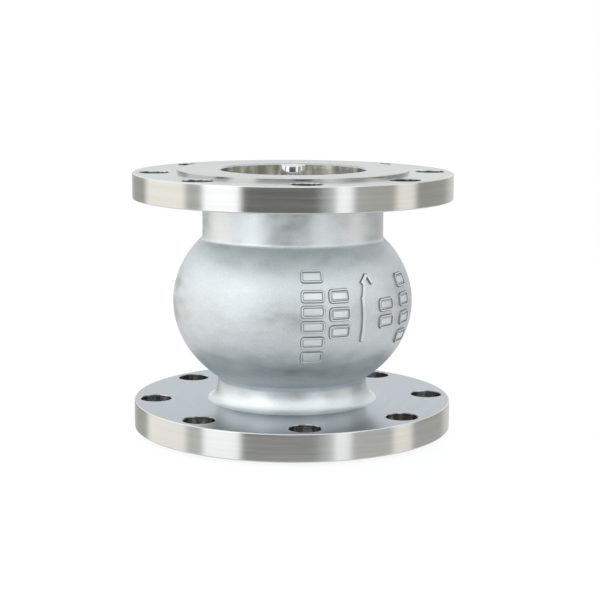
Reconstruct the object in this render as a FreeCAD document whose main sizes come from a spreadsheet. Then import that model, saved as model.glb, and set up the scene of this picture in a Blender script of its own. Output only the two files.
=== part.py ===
import FreeCAD, Part
import math
import os
import re
import Sketcher

# Silent non-return valve: a one-piece globe casting with two flanges, and a
# spring-loaded disc guided above and below its seat. Millimetres, +Z along
# the flow. The origin is the middle of the inlet flange's raised face.

SIZES = {
    # Flanges
    "flange_diameter": 185.0,
    "inlet_rim": 16.0,
    "outlet_rim": 14.7,
    "face_step": 1.8,
    "face_margin": 4.0,
    "rim_chamfer": 0.7,
    "bolt_hole": 18.0,
    "bolt_margin": 12.5,
    "bolt_count": 8,
    "bolt_turn": 5.0,
    # Globe and its two necks
    "globe_diameter": 139.2,
    "globe_rise": 56.7,
    "globe_wall": 6.5,
    "inlet_wall": 3.6,
    "inlet_neck_length": 13.5,
    "inlet_neck_fillet": 6.0,
    "outlet_wall": 9.9,
    "outlet_neck_fillet": 5.0,
    "outlet_back_fillet": 4.0,
    "cavity_fillet": 3.0,
    # Machined bores
    "inlet_bore": 80.0,
    "inlet_bore_depth": 17.0,
    "lower_shoulder": 3.5,
    "seat_shoulder": 3.5,
    "seat_passage": 0.2,
    "upper_shoulder": 2.3,
    "shoulder_shelf": 5.8,
    "outlet_bore_depth": 32.0,
    "mouth_chamfer": 1.0,
    # Seat
    "seat_shelf": 4.7,
    "seat_pocket_depth": 8.0,
    "seat_ring_width": 7.5,
    "seat_nose_width": 3.5,
    "seat_nose_height": 3.2,
    "seat_nose_chamfer": 0.6,
    "gasket_height": 1.0,
    "gasket_setback": 0.3,
    "notch_count": 4,
    "notch_width": 8.0,
    "notch_depth": 3.0,
    "notch_reach": 2.6,
    # Disc
    "disc_rim": 2.0,
    "disc_web": 6.5,
    "disc_edge": 4.5,
    "disc_edge_chamfer": 1.0,
    "disc_skirt": 3.0,
    "disc_hub_step": 1.0,
    "disc_hub_height": 7.0,
    "spring_land_margin": 0.8,
    # Soft seal and the plate that clamps it
    "seal_width": 6.5,
    "seal_height": 5.0,
    "seal_lip_width": 2.0,
    "seal_lip_height": 2.3,
    "retainer_reach": 1.5,
    "retainer_chamfer": 1.0,
    "screw_count": 6,
    "screw_diameter": 5.0,
    "screw_head": 9.6,
    "screw_length": 11.0,
    "screw_socket": 3.0,
    "screw_socket_depth": 1.6,
    "screw_hole_spare": 1.0,
    # Stem, its collar, thread and nut
    "stem_diameter": 15.0,
    "stem_reach": 2.4,
    "stem_chamfer": 1.0,
    "stem_overrun": 3.0,
    "collar_step": 3.0,
    "collar_height": 6.0,
    "thread_step": 1.5,
    "thread_runout": 1.5,
    "centre_hole": 4.0,
    "o_ring_wire": 1.5,
    "nut_wall": 4.5,
    "nut_height": 9.0,
    "washer_margin": 1.5,
    "washer_height": 1.0,
    "tab_width": 8.0,
    "tab_height": 5.0,
    # Lift and spring
    "lift": 18.0,
    "spring_wire": 3.0,
    "spring_hub_gap": 1.0,
    "spring_turns": 7,
    "spring_seat_height": 1.5,
    "spring_seat_lip": 2.5,
    "spring_seat_lip_width": 1.4,
    # Guides and bushes
    "hub_wall": 5.0,
    "guide_rim_width": 4.4,
    "upper_rim_height": 10.0,
    "lower_rim_height": 8.0,
    "arm_width": 6.0,
    "arm_bite": 1.0,
    "upper_arm_count": 4,
    "lower_arm_count": 3,
    "hub_flange_margin": 2.0,
    "hub_flange_height": 4.0,
    "upper_boss_height": 20.0,
    "upper_hub_rise": 16.0,
    "lower_hub_height": 20.0,
    "lower_hub_rise": 1.0,
    "bush_wall": 2.5,
    "bush_flange_width": 2.5,
    "bush_flange_height": 2.0,
    "bush_recess": 4.0,
    # Retaining rings
    "clip_groove_depth": 1.75,
    "upper_clip_height": 3.0,
    "lower_clip_height": 2.5,
    "clip_back_width": 6.8,
    "clip_front_width": 4.4,
    "clip_gap": 7.0,
    "clip_lug_radius": 3.6,
    "clip_lug_hole": 3.0,
    # Clearances
    "closing_gap": 0.3,
    "stop_gap": 0.3,
    "running_gap": 0.05,
    "seating_gap": 0.05,
    "clip_gap_height": 0.15,
    "spring_gap": 0.3,
    "spring_rest_gap": 0.1,
    "spring_seat_gap": 0.15,
}

# Diameters that follow from the driving sizes: from the flange's rim inwards,
# from the inlet bore up through the seat, and from the stem outwards.
DIAMETERS = {
    "bolt_circle": "flange_diameter - 2 * bolt_margin",
    "face_diameter": "bolt_circle - bolt_hole - 2 * face_margin",
    "inlet_neck": "inlet_bore + 2 * inlet_wall",
    "throat": "inlet_bore - 2 * lower_shoulder",
    "seat_ring_diameter": "throat + 2 * seat_shoulder",
    "seat_bore": "seat_ring_diameter - 2 * seat_ring_width",
    "shoulder_bore": "seat_ring_diameter + 2 * seat_passage",
    "outlet_bore": "shoulder_bore + 2 * upper_shoulder",
    "outlet_neck": "outlet_bore + 2 * outlet_wall",
    "seal_inner": "seat_bore + seat_nose_width - seal_width",
    "seal_outer": "seat_bore + seat_nose_width + seal_width",
    "disc_diameter": "seal_outer + 2 * disc_rim",
    "bush_diameter": "stem_diameter + 2 * bush_wall",
    "bush_flange": "bush_diameter + 2 * bush_flange_width",
    "hub_diameter": "bush_diameter + 2 * hub_wall",
    "thread_diameter": "stem_diameter + 2 * thread_step",
    "collar_diameter": "thread_diameter + 2 * collar_step",
    "screw_circle": "(collar_diameter + seal_inner) / 2",
    "nut_flats": "thread_diameter + 2 * nut_wall",
    "washer_diameter": "nut_flats + 2 * washer_margin",
    "disc_hub": "washer_diameter + 2 * disc_hub_step",
    "spring_diameter": "disc_hub + 2 * spring_hub_gap + spring_wire",
    "spring_seat_diameter": "spring_diameter + spring_wire + 2 * closing_gap + 2 * spring_seat_lip_width",
    "hub_flange_diameter": "spring_diameter + spring_wire + 2 * hub_flange_margin",
}

# Levels above the inlet face. The shoulder of the outlet bore stands clear
# of the globe's cavity and of the boss that stops the lift, and the outlet
# neck fills the length that is left above the globe.
LEVELS = {
    "inlet_back": "face_step + inlet_rim",
    "inlet_crease": "inlet_back + inlet_neck_length",
    "globe_level": "inlet_crease + globe_rise * sqrt(1 - (inlet_neck / globe_diameter) ^ 2)",
    "outlet_crease": "globe_level + globe_rise * sqrt(1 - (outlet_neck / globe_diameter) ^ 2)",
    "pocket_floor": "inlet_crease + seat_shelf",
    "cavity_floor": "pocket_floor + seat_pocket_depth",
    "seat_base": "pocket_floor + gasket_height",
    "seat_face": "cavity_floor + seat_nose_height",
    "seal_face": "seat_face + closing_gap",
    "disc_seat": "seal_face + seal_height",
    "disc_top": "disc_seat + disc_web",
    "hub_top": "disc_top + disc_hub_height",
    "nut_base": "hub_top + washer_height",
    "nut_top": "nut_base + nut_height",
    "retainer_base": "seal_face - retainer_reach",
    "boss_base": "nut_top + lift + stop_gap",
    "cavity_ratio": "shoulder_bore / (globe_diameter - 2 * globe_wall)",
    "cavity_top": "globe_level + (globe_rise - globe_wall) * sqrt(1 - cavity_ratio ^ 2)",
    "shoulder_level": "max(boss_base + upper_boss_height; cavity_top + shoulder_shelf)",
    "outlet_face": "shoulder_level + outlet_bore_depth",
    "outlet_front": "outlet_face - face_step",
    "outlet_back": "outlet_front - outlet_rim",
    "stem_top": "outlet_face + stem_reach",
    "spring_base": "disc_top + spring_seat_height",
    "spring_top": "shoulder_level - hub_flange_height",
    "upper_hub_top": "shoulder_level + upper_hub_rise",
    "upper_rim_top": "shoulder_level + upper_rim_height",
    "upper_groove_top": "upper_rim_top + upper_clip_height + clip_gap_height",
    "lower_rim_base": "inlet_bore_depth - lower_rim_height",
    "lower_groove_base": "lower_rim_base - lower_clip_height - clip_gap_height",
    "lower_hub_base": "lower_rim_base + lower_hub_rise",
    "lower_hub_top": "lower_hub_base + lower_hub_height",
    "stem_foot": "lower_hub_base - stem_overrun",
}

doc = FreeCAD.newDocument("silent_check_valve")
sheet = doc.addObject("Spreadsheet::Sheet", "Sizes")
working = doc.addObject("Spreadsheet::Sheet", "Working")
NAMES = set(SIZES) | set(DIAMETERS) | set(LEVELS)
PARTS = []


def fill_sheet():
    """Write the driving sizes as plain numbers and what follows as formulas."""
    rows = [(name, str(size)) for name, size in SIZES.items()]
    rows += [(name, "=" + formula) for name, formula in DIAMETERS.items()]
    rows += [(name, "=" + formula) for name, formula in LEVELS.items()]
    for row, (name, content) in enumerate(rows, 1):
        sheet.set("A%d" % row, name)
        sheet.set("B%d" % row, content)
        sheet.setAlias("B%d" % row, name)
    doc.recompute()


def value(formula):
    """The number that a formula in the sheet's own names comes to."""
    if formula in NAMES:
        return float(sheet.get(formula))
    working.set("A1", "=" + bound(formula))
    working.recompute()
    return float(working.get("A1"))


def bound(formula):
    """The same formula as an expression that other objects can hold."""
    def own(match):
        word = match.group(0)
        return "Sizes." + word if word in NAMES else word
    return re.sub(r"[a-z_]+", own, formula)


def new_body(name):
    """A body whose label names its file."""
    body = doc.addObject("PartDesign::Body", name)
    body.Label = name
    PARTS.append(body)
    return body


def origin_item(body, role):
    """A plane or axis of the body's own origin."""
    return next(item for item in body.Origin.OriginFeatures if item.Role == role)


def new_sketch(body, name, plane, lift_formula=None):
    """An empty sketch on one of the body's origin planes, lifted if asked."""
    sketch = body.newObject("Sketcher::SketchObject", name)
    sketch.AttachmentSupport = [(origin_item(body, plane), "")]
    sketch.MapMode = "FlatFace"
    if lift_formula is not None:
        sketch.setExpression("AttachmentOffset.Base.z", bound(lift_formula))
    return sketch


def tie(sketch, kind, geometry, point, formula):
    """Hold one coordinate of a sketch point at a formula's value."""
    if formula == "0":
        axis = -2 if kind == "DistanceX" else -1
        sketch.addConstraint(Sketcher.Constraint("PointOnObject", geometry, point, axis))
        return
    number = sketch.addConstraint(
        Sketcher.Constraint(kind, -1, 1, geometry, point, value(formula)))
    sketch.setExpression("Constraints[%d]" % number, bound(formula))


def add_outline(sketch, corners):
    """A closed outline of straight edges through corners given as formulas."""
    spots = [FreeCAD.Vector(value(across), value(up), 0) for across, up in corners]
    first = sketch.GeometryCount
    count = len(spots)
    for index, spot in enumerate(spots):
        sketch.addGeometry(Part.LineSegment(spot, spots[(index + 1) % count]), False)
    for index, (across, up) in enumerate(corners):
        following = first + (index + 1) % count
        sketch.addConstraint(
            Sketcher.Constraint("Coincident", first + index, 2, following, 1))
        tie(sketch, "DistanceX", first + index, 1, across)
        tie(sketch, "DistanceY", first + index, 1, up)


def add_circle(sketch, radius, across="0", up="0"):
    """A circle whose radius and middle are formulas."""
    middle = FreeCAD.Vector(value(across), value(up), 0)
    circle = Part.Circle(middle, FreeCAD.Vector(0, 0, 1), value(radius))
    index = sketch.addGeometry(circle, False)
    tie(sketch, "DistanceX", index, 3, across)
    tie(sketch, "DistanceY", index, 3, up)
    number = sketch.addConstraint(
        Sketcher.Constraint("Radius", index, value(radius)))
    sketch.setExpression("Constraints[%d]" % number, bound(radius))


def turn(body, name, corners, cut=False):
    """A turned form: the outline in the XZ plane, swept round the Z axis."""
    sketch = new_sketch(body, name + "_outline", "XZ_Plane")
    add_outline(sketch, corners)
    return sweep_round(body, name, sketch, cut)


def sweep_round(body, name, sketch, cut=False):
    """Add or cut what a sketch makes when it is swept round the Z axis."""
    kind = "PartDesign::Groove" if cut else "PartDesign::Revolution"
    feature = body.newObject(kind, name)
    feature.Profile = sketch
    feature.ReferenceAxis = (sketch, ["V_Axis"])
    feature.Angle = 360.0
    doc.recompute()
    return feature


def push(body, name, sketch, length=None, cut=False, reverse=False, centred=False):
    """Pad or pocket a sketch by a formula's length, or right through."""
    kind = "PartDesign::Pocket" if cut else "PartDesign::Pad"
    feature = body.newObject(kind, name)
    feature.Profile = sketch
    feature.Reversed = reverse
    if length is None:
        feature.Type = "ThroughAll"
    else:
        feature.setExpression("Length", bound(length))
    if centred:
        feature.SideType = "Symmetric"
    doc.recompute()
    return feature


def repeat_round(body, name, features, count):
    """Copy features evenly round the Z axis."""
    pattern = body.newObject("PartDesign::PolarPattern", name)
    pattern.Originals = features
    pattern.Axis = (origin_item(body, "Z_Axis"), [""])
    pattern.Angle = 360.0
    pattern.setExpression("Occurrences", bound(count))
    body.Tip = pattern
    doc.recompute()
    return pattern


def ring_edges(feature, places):
    """Names of the round edges that lie at given radius and level formulas."""
    names = []
    for radius, level in places:
        wanted_radius = value(radius)
        wanted_level = value(level)
        for number, edge in enumerate(feature.Shape.Edges, 1):
            curve = edge.Curve
            if not isinstance(curve, Part.Circle):
                continue
            near_radius = abs(curve.Radius - wanted_radius) < 1e-3
            if near_radius and abs(curve.Center.z - wanted_level) < 1e-3:
                names.append("Edge%d" % number)
    return names


def round_edges(body, name, feature, places, radius):
    """Fillet the round edges at the given places."""
    fillet = body.newObject("PartDesign::Fillet", name)
    fillet.Base = (feature, ring_edges(feature, places))
    fillet.setExpression("Radius", bound(radius))
    doc.recompute()
    return fillet


def bevel_edges(body, name, feature, places, size):
    """Chamfer the round edges at the given places."""
    chamfer = body.newObject("PartDesign::Chamfer", name)
    chamfer.Base = (feature, ring_edges(feature, places))
    chamfer.setExpression("Size", bound(size))
    doc.recompute()
    return chamfer


def add_globe_outline(sketch, below, wide, rise, above):
    """Straight runs below and above an elliptical bulge, closed along the axis.

    The runs are lists of corners going up. The bulge starts at the last
    corner of the lower run and ends at the first corner of the upper run:
    one coordinate of each is held, and the ellipse gives the other.
    """
    middle = value("globe_level")
    wide_radius = value(wide)
    rise_radius = value(rise)
    joint_low, joint_high = below[-1], above[0]
    low_up = joint_low[1] and value(joint_low[1])
    if joint_low[0]:
        low_angle = -math.acos(value(joint_low[0]) / wide_radius)
    else:
        low_angle = math.asin((low_up - middle) / rise_radius)
    high_angle = math.acos(value(joint_high[0]) / wide_radius)

    def on_ellipse(angle):
        return FreeCAD.Vector(wide_radius * math.cos(angle), middle + rise_radius * math.sin(angle), 0)

    spots = [FreeCAD.Vector(value(a), value(b), 0) for a, b in below[:-1]]
    spots.append(on_ellipse(low_angle))
    arc_index = len(spots) - 1
    spots.append(on_ellipse(high_angle))
    spots += [FreeCAD.Vector(value(a), value(b), 0) for a, b in above[1:]]
    corners = below + above
    count = len(spots)
    for index, spot in enumerate(spots):
        if index == arc_index:
            ellipse = Part.Ellipse(FreeCAD.Vector(0, middle, 0), wide_radius, rise_radius)
            edge = Part.ArcOfEllipse(ellipse, low_angle, high_angle)
        else:
            edge = Part.LineSegment(spot, spots[(index + 1) % count])
        sketch.addGeometry(edge, False)
    for index, (across, up) in enumerate(corners):
        sketch.addConstraint(
            Sketcher.Constraint("Coincident", index, 2, (index + 1) % count, 1))
        if across:
            tie(sketch, "DistanceX", index, 1, across)
        if up:
            tie(sketch, "DistanceY", index, 1, up)
    sketch.exposeInternalGeometry(arc_index)
    major, minor = count, count + 1
    sketch.addConstraint(Sketcher.Constraint("PointOnObject", arc_index, 3, -2))
    tie(sketch, "DistanceY", arc_index, 3, "globe_level")
    sketch.addConstraint(Sketcher.Constraint("Horizontal", major))
    for axis, formula in ((major, "2 * (%s)" % wide), (minor, "2 * (%s)" % rise)):
        number = sketch.addConstraint(
            Sketcher.Constraint("Distance", axis, value(formula)))
        sketch.setExpression("Constraints[%d]" % number, bound(formula))


def valve_body():
    """The casting: two flanges, two necks and the globe, then its machining."""
    body = new_body("valve_body")
    outside = new_sketch(body, "casting_outline", "XZ_Plane")
    add_globe_outline(
        outside,
        below=[
            ("0", "0"),
            ("face_diameter / 2", "0"),
            ("face_diameter / 2", "face_step"),
            ("flange_diameter / 2", "face_step"),
            ("flange_diameter / 2", "inlet_back"),
            ("inlet_neck / 2", "inlet_back"),
            ("inlet_neck / 2", None),
        ],
        wide="globe_diameter / 2",
        rise="globe_rise",
        above=[
            ("outlet_neck / 2", None),
            ("outlet_neck / 2", "outlet_back"),
            ("flange_diameter / 2", "outlet_back"),
            ("flange_diameter / 2", "outlet_front"),
            ("face_diameter / 2", "outlet_front"),
            ("face_diameter / 2", "outlet_face"),
            ("0", "outlet_face"),
        ],
    )
    casting = sweep_round(body, "casting", outside)
    casting = round_edges(
        body, "inlet_neck_root", casting,
        [("inlet_neck / 2", "inlet_back")], "inlet_neck_fillet")
    casting = round_edges(
        body, "outlet_neck_root", casting,
        [("outlet_neck / 2", "outlet_back")], "outlet_back_fillet")
    casting = round_edges(
        body, "outlet_neck_crease", casting,
        [("outlet_neck / 2", "outlet_crease")], "outlet_neck_fillet")
    rims = [("flange_diameter / 2", level)
            for level in ("face_step", "inlet_back", "outlet_back", "outlet_front")]
    bevel_edges(body, "rim_bevels", casting, rims, "rim_chamfer")

    inside = new_sketch(body, "bore_outline", "XZ_Plane")
    pocket_radius = "seat_ring_diameter / 2 + seating_gap"
    groove_radius = "outlet_bore / 2 + clip_groove_depth"
    lower_groove_radius = "inlet_bore / 2 + clip_groove_depth"
    add_globe_outline(
        inside,
        below=[
            ("0", "0"),
            ("inlet_bore / 2 + mouth_chamfer", "0"),
            ("inlet_bore / 2", "mouth_chamfer"),
            ("inlet_bore / 2", "lower_groove_base"),
            (lower_groove_radius, "lower_groove_base"),
            (lower_groove_radius, "lower_rim_base"),
            ("inlet_bore / 2", "lower_rim_base"),
            ("inlet_bore / 2", "inlet_bore_depth"),
            ("throat / 2", "inlet_bore_depth"),
            ("throat / 2", "pocket_floor"),
            (pocket_radius, "pocket_floor"),
            (pocket_radius, "cavity_floor"),
            (None, "cavity_floor"),
        ],
        wide="globe_diameter / 2 - globe_wall",
        rise="globe_rise - globe_wall",
        above=[
            ("shoulder_bore / 2", None),
            ("shoulder_bore / 2", "shoulder_level"),
            ("outlet_bore / 2", "shoulder_level"),
            ("outlet_bore / 2", "upper_rim_top"),
            (groove_radius, "upper_rim_top"),
            (groove_radius, "upper_groove_top"),
            ("outlet_bore / 2", "upper_groove_top"),
            ("outlet_bore / 2", "outlet_face - mouth_chamfer"),
            ("outlet_bore / 2 + mouth_chamfer", "outlet_face"),
            ("0", "outlet_face"),
        ],
    )
    bored = sweep_round(body, "bores", inside, cut=True)
    drop = "((globe_level - cavity_floor) / (globe_rise - globe_wall))"
    floor_radius = "(globe_diameter / 2 - globe_wall) * sqrt(1 - " + drop + " ^ 2)"
    round_edges(body, "cavity_root", bored, [(floor_radius, "cavity_floor")], "cavity_fillet")

    drillings = (
        ("inlet", "0", "inlet_back + inlet_neck_fillet", True),
        ("outlet", "outlet_front", "outlet_rim + outlet_back_fillet", False),
    )
    for end, level, depth, upwards in drillings:
        plan = new_sketch(body, end + "_bolt_plan", "XY_Plane", level)
        add_circle(
            plan, "bolt_hole / 2",
            "bolt_circle / 2 * cos(bolt_turn * 1 deg)", "bolt_circle / 2 * sin(bolt_turn * 1 deg)")
        hole = push(body, end + "_bolt_hole", plan, depth, cut=True, reverse=upwards)
        repeat_round(body, end + "_bolt_holes", [hole], "bolt_count")


def seat_pieces():
    """The gasket and the screwed-in seat ring on the shelf above the throat."""
    gasket = new_body("seat_gasket")
    turn(gasket, "washer", [
        ("throat / 2 + gasket_setback", "pocket_floor"),
        ("seat_ring_diameter / 2", "pocket_floor"),
        ("seat_ring_diameter / 2", "seat_base"),
        ("throat / 2 + gasket_setback", "seat_base"),
    ])

    ring = new_body("seat_ring")
    turn(ring, "seat", [
        ("seat_bore / 2", "seat_base"),
        ("seat_ring_diameter / 2", "seat_base"),
        ("seat_ring_diameter / 2", "cavity_floor"),
        ("seat_bore / 2 + seat_nose_width", "cavity_floor"),
        ("seat_bore / 2 + seat_nose_width", "seat_face - seat_nose_chamfer"),
        ("seat_bore / 2 + seat_nose_width - seat_nose_chamfer", "seat_face"),
        ("seat_bore / 2 + seat_nose_chamfer", "seat_face"),
        ("seat_bore / 2", "seat_face - seat_nose_chamfer"),
    ])
    plan = new_sketch(ring, "notch_plan", "XY_Plane", "cavity_floor")
    add_outline(plan, [
        ("seat_ring_diameter / 2 - notch_reach", "-notch_width / 2"),
        ("seat_ring_diameter / 2 + notch_reach", "-notch_width / 2"),
        ("seat_ring_diameter / 2 + notch_reach", "notch_width / 2"),
        ("seat_ring_diameter / 2 - notch_reach", "notch_width / 2"),
    ])
    notch = push(ring, "notch", plan, "notch_depth", cut=True)
    repeat_round(ring, "notches", [notch], "notch_count")


def guide(name, hub_corners, arm_corners, rim_corners, arm_count):
    """A cast guide: a hub, arms that taper outwards, and a rim."""
    body = new_body(name)
    turn(body, "hub", hub_corners)
    side = new_sketch(body, "arm_side", "XZ_Plane")
    add_outline(side, arm_corners)
    arm = push(body, "arm", side, "arm_width", centred=True)
    repeat_round(body, "arms", [arm], arm_count)
    rim = turn(body, "rim", rim_corners)
    body.Tip = rim


def upper_guide():
    """The guide that sits on the shoulder of the outlet bore and stops the lift."""
    hub_bore = "bush_diameter / 2 + seating_gap"
    rim_outer = "outlet_bore / 2 - seating_gap"
    rim_inner = "outlet_bore / 2 - guide_rim_width"
    guide(
        "upper_guide",
        hub_corners=[
            (hub_bore, "boss_base"),
            ("hub_diameter / 2", "boss_base"),
            ("hub_diameter / 2", "spring_top"),
            ("hub_flange_diameter / 2", "spring_top"),
            ("hub_flange_diameter / 2", "shoulder_level"),
            ("hub_diameter / 2", "shoulder_level + hub_flange_height"),
            ("hub_diameter / 2", "upper_hub_top - mouth_chamfer"),
            ("hub_diameter / 2 - mouth_chamfer", "upper_hub_top"),
            (hub_bore, "upper_hub_top"),
        ],
        arm_corners=[
            ("hub_diameter / 2 - arm_bite", "spring_top + arm_bite"),
            ("hub_flange_diameter / 2", "spring_top + arm_bite"),
            (rim_inner + " + arm_bite", "shoulder_level + arm_bite"),
            (rim_inner + " + arm_bite", "upper_rim_top - arm_bite"),
            ("hub_diameter / 2 - arm_bite", "upper_hub_top - 2 * mouth_chamfer"),
        ],
        rim_corners=[
            (rim_inner, "shoulder_level"),
            (rim_outer, "shoulder_level"),
            (rim_outer, "upper_rim_top"),
            (rim_inner, "upper_rim_top"),
        ],
        arm_count="upper_arm_count",
    )


def lower_guide():
    """The guide under the shoulder of the inlet bore."""
    hub_bore = "bush_diameter / 2 + seating_gap"
    rim_outer = "inlet_bore / 2 - seating_gap"
    rim_inner = "inlet_bore / 2 - guide_rim_width"
    guide(
        "lower_guide",
        hub_corners=[
            (hub_bore, "lower_hub_base"),
            ("hub_diameter / 2", "lower_hub_base"),
            ("hub_diameter / 2", "lower_hub_top - mouth_chamfer"),
            ("hub_diameter / 2 - mouth_chamfer", "lower_hub_top"),
            (hub_bore, "lower_hub_top"),
        ],
        arm_corners=[
            ("hub_diameter / 2 - arm_bite", "lower_hub_base + arm_bite"),
            (rim_inner + " + arm_bite", "lower_rim_base + arm_bite"),
            (rim_inner + " + arm_bite", "inlet_bore_depth - arm_bite"),
            ("hub_diameter / 2 - arm_bite", "lower_hub_top - 2 * mouth_chamfer"),
        ],
        rim_corners=[
            (rim_inner, "lower_rim_base"),
            (rim_outer, "lower_rim_base"),
            (rim_outer, "inlet_bore_depth"),
            (rim_inner, "inlet_bore_depth"),
        ],
        arm_count="lower_arm_count",
    )


def bushes():
    """Flanged plain bushes in both hubs, with a running gap round the stem."""
    bore = "stem_diameter / 2 + running_gap"
    upper = new_body("upper_bush")
    turn(upper, "sleeve", [
        (bore, "boss_base + bush_recess"),
        ("bush_diameter / 2", "boss_base + bush_recess"),
        ("bush_diameter / 2", "upper_hub_top"),
        ("bush_flange / 2", "upper_hub_top"),
        ("bush_flange / 2", "upper_hub_top + bush_flange_height"),
        (bore, "upper_hub_top + bush_flange_height"),
    ])
    lower = new_body("lower_bush")
    turn(lower, "sleeve", [
        (bore, "lower_hub_base - bush_flange_height"),
        ("bush_flange / 2", "lower_hub_base - bush_flange_height"),
        ("bush_flange / 2", "lower_hub_base"),
        ("bush_diameter / 2", "lower_hub_base"),
        ("bush_diameter / 2", "lower_hub_top"),
        (bore, "lower_hub_top"),
    ])


def circlip(name, bore, base, height):
    """An internal retaining ring: wide at its back, with holed lugs at its gap."""
    body = new_body(name)
    outer = bore + " / 2 + clip_groove_depth - seating_gap"
    inner = "(" + outer + ") - (clip_back_width + clip_front_width) / 2"
    shift = "(clip_back_width - clip_front_width) / 2"
    lug_across = "clip_gap / 2 + clip_lug_radius"
    lug_up = "-((" + outer + ") - clip_front_width)"

    plan = new_sketch(body, "ring_plan", "XY_Plane", base)
    add_circle(plan, outer)
    add_circle(plan, inner, "0", "-(" + shift + ")")
    push(body, "ring", plan, height)

    lug_plan = new_sketch(body, "lug_plan", "XY_Plane", base)
    add_circle(lug_plan, "clip_lug_radius", lug_across, lug_up)
    add_circle(lug_plan, "clip_lug_radius", "-(" + lug_across + ")", lug_up)
    push(body, "lugs", lug_plan, height)

    gap_plan = new_sketch(body, "gap_plan", "XY_Plane", base)
    add_outline(gap_plan, [
        ("-clip_gap / 2", "-(" + outer + ") - clip_gap"),
        ("clip_gap / 2", "-(" + outer + ") - clip_gap"),
        ("clip_gap / 2", "0"),
        ("-clip_gap / 2", "0"),
    ])
    push(body, "gap", gap_plan, cut=True, reverse=True)

    hole_plan = new_sketch(body, "hole_plan", "XY_Plane", base)
    add_circle(hole_plan, "clip_lug_hole / 2", lug_across, lug_up)
    add_circle(hole_plan, "clip_lug_hole / 2", "-(" + lug_across + ")", lug_up)
    push(body, "plier_holes", hole_plan, cut=True, reverse=True)


def disc():
    """The disc: a coned plate with a hub, and a recess for the seal below."""
    body = new_body("disc")
    bore = "thread_diameter / 2 + seating_gap"
    recess = "seal_outer / 2 + seating_gap"
    o_ring_width = "o_ring_wire + 2 * seating_gap"
    turn(body, "plate", [
        (bore + " + " + o_ring_width, "disc_seat"),
        (recess, "disc_seat"),
        (recess, "disc_seat - disc_skirt"),
        ("disc_diameter / 2", "disc_seat - disc_skirt"),
        ("disc_diameter / 2", "disc_seat + disc_edge - disc_edge_chamfer"),
        ("disc_diameter / 2 - disc_edge_chamfer", "disc_seat + disc_edge"),
        ("spring_seat_diameter / 2 + spring_land_margin", "disc_top"),
        ("disc_hub / 2", "disc_top"),
        ("disc_hub / 2", "hub_top - mouth_chamfer"),
        ("disc_hub / 2 - mouth_chamfer", "hub_top"),
        (bore, "hub_top"),
        (bore, "disc_seat + " + o_ring_width),
        (bore + " + " + o_ring_width, "disc_seat + " + o_ring_width),
    ])
    plan = new_sketch(body, "tapped_plan", "XY_Plane", "disc_seat")
    add_circle(plan, "screw_diameter / 2", "screw_circle / 2")
    depth = "screw_length - (disc_seat - retainer_base) + screw_hole_spare"
    tapped = push(body, "tapped_hole", plan, depth, cut=True, reverse=True)
    repeat_round(body, "tapped_holes", [tapped], "screw_count")


def disc_seal():
    """The soft ring that closes on the seat, stepped so the plate holds it."""
    body = new_body("disc_seal")
    turn(body, "ring", [
        ("seal_inner / 2", "seal_face"),
        ("seal_outer / 2", "seal_face"),
        ("seal_outer / 2", "disc_seat"),
        ("seal_inner / 2 - seal_lip_width", "disc_seat"),
        ("seal_inner / 2 - seal_lip_width", "disc_seat - seal_lip_height"),
        ("seal_inner / 2", "disc_seat - seal_lip_height"),
    ])


def seal_retainer():
    """The plate that clamps the seal's lip against the disc."""
    body = new_body("seal_retainer")
    outer = "seal_inner / 2 - 2 * seating_gap"
    turn(body, "plate", [
        ("collar_diameter / 2 + seating_gap", "retainer_base"),
        (outer + " - retainer_chamfer", "retainer_base"),
        (outer, "retainer_base + retainer_chamfer"),
        (outer, "disc_seat - seal_lip_height - seating_gap"),
        (outer + " - seal_lip_width", "disc_seat - seal_lip_height - seating_gap"),
        (outer + " - seal_lip_width", "disc_seat"),
        ("collar_diameter / 2 + seating_gap", "disc_seat"),
    ])
    sink = new_sketch(body, "sink_side", "XZ_Plane")
    middle = "screw_circle / 2"
    head = "screw_head / 2 + seating_gap"
    shank = "screw_diameter / 2"
    add_outline(sink, [
        (middle, "retainer_base"),
        (middle + " + " + head, "retainer_base"),
        (middle + " + " + shank, "retainer_base + " + head + " - " + shank),
        (middle + " + " + shank, "disc_seat"),
        (middle, "disc_seat"),
    ])
    hole = body.newObject("PartDesign::Groove", "sunk_hole")
    hole.Profile = sink
    hole.ReferenceAxis = (sink, ["Edge5"])
    hole.Angle = 360.0
    doc.recompute()
    repeat_round(body, "sunk_holes", [hole], "screw_count")


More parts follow.
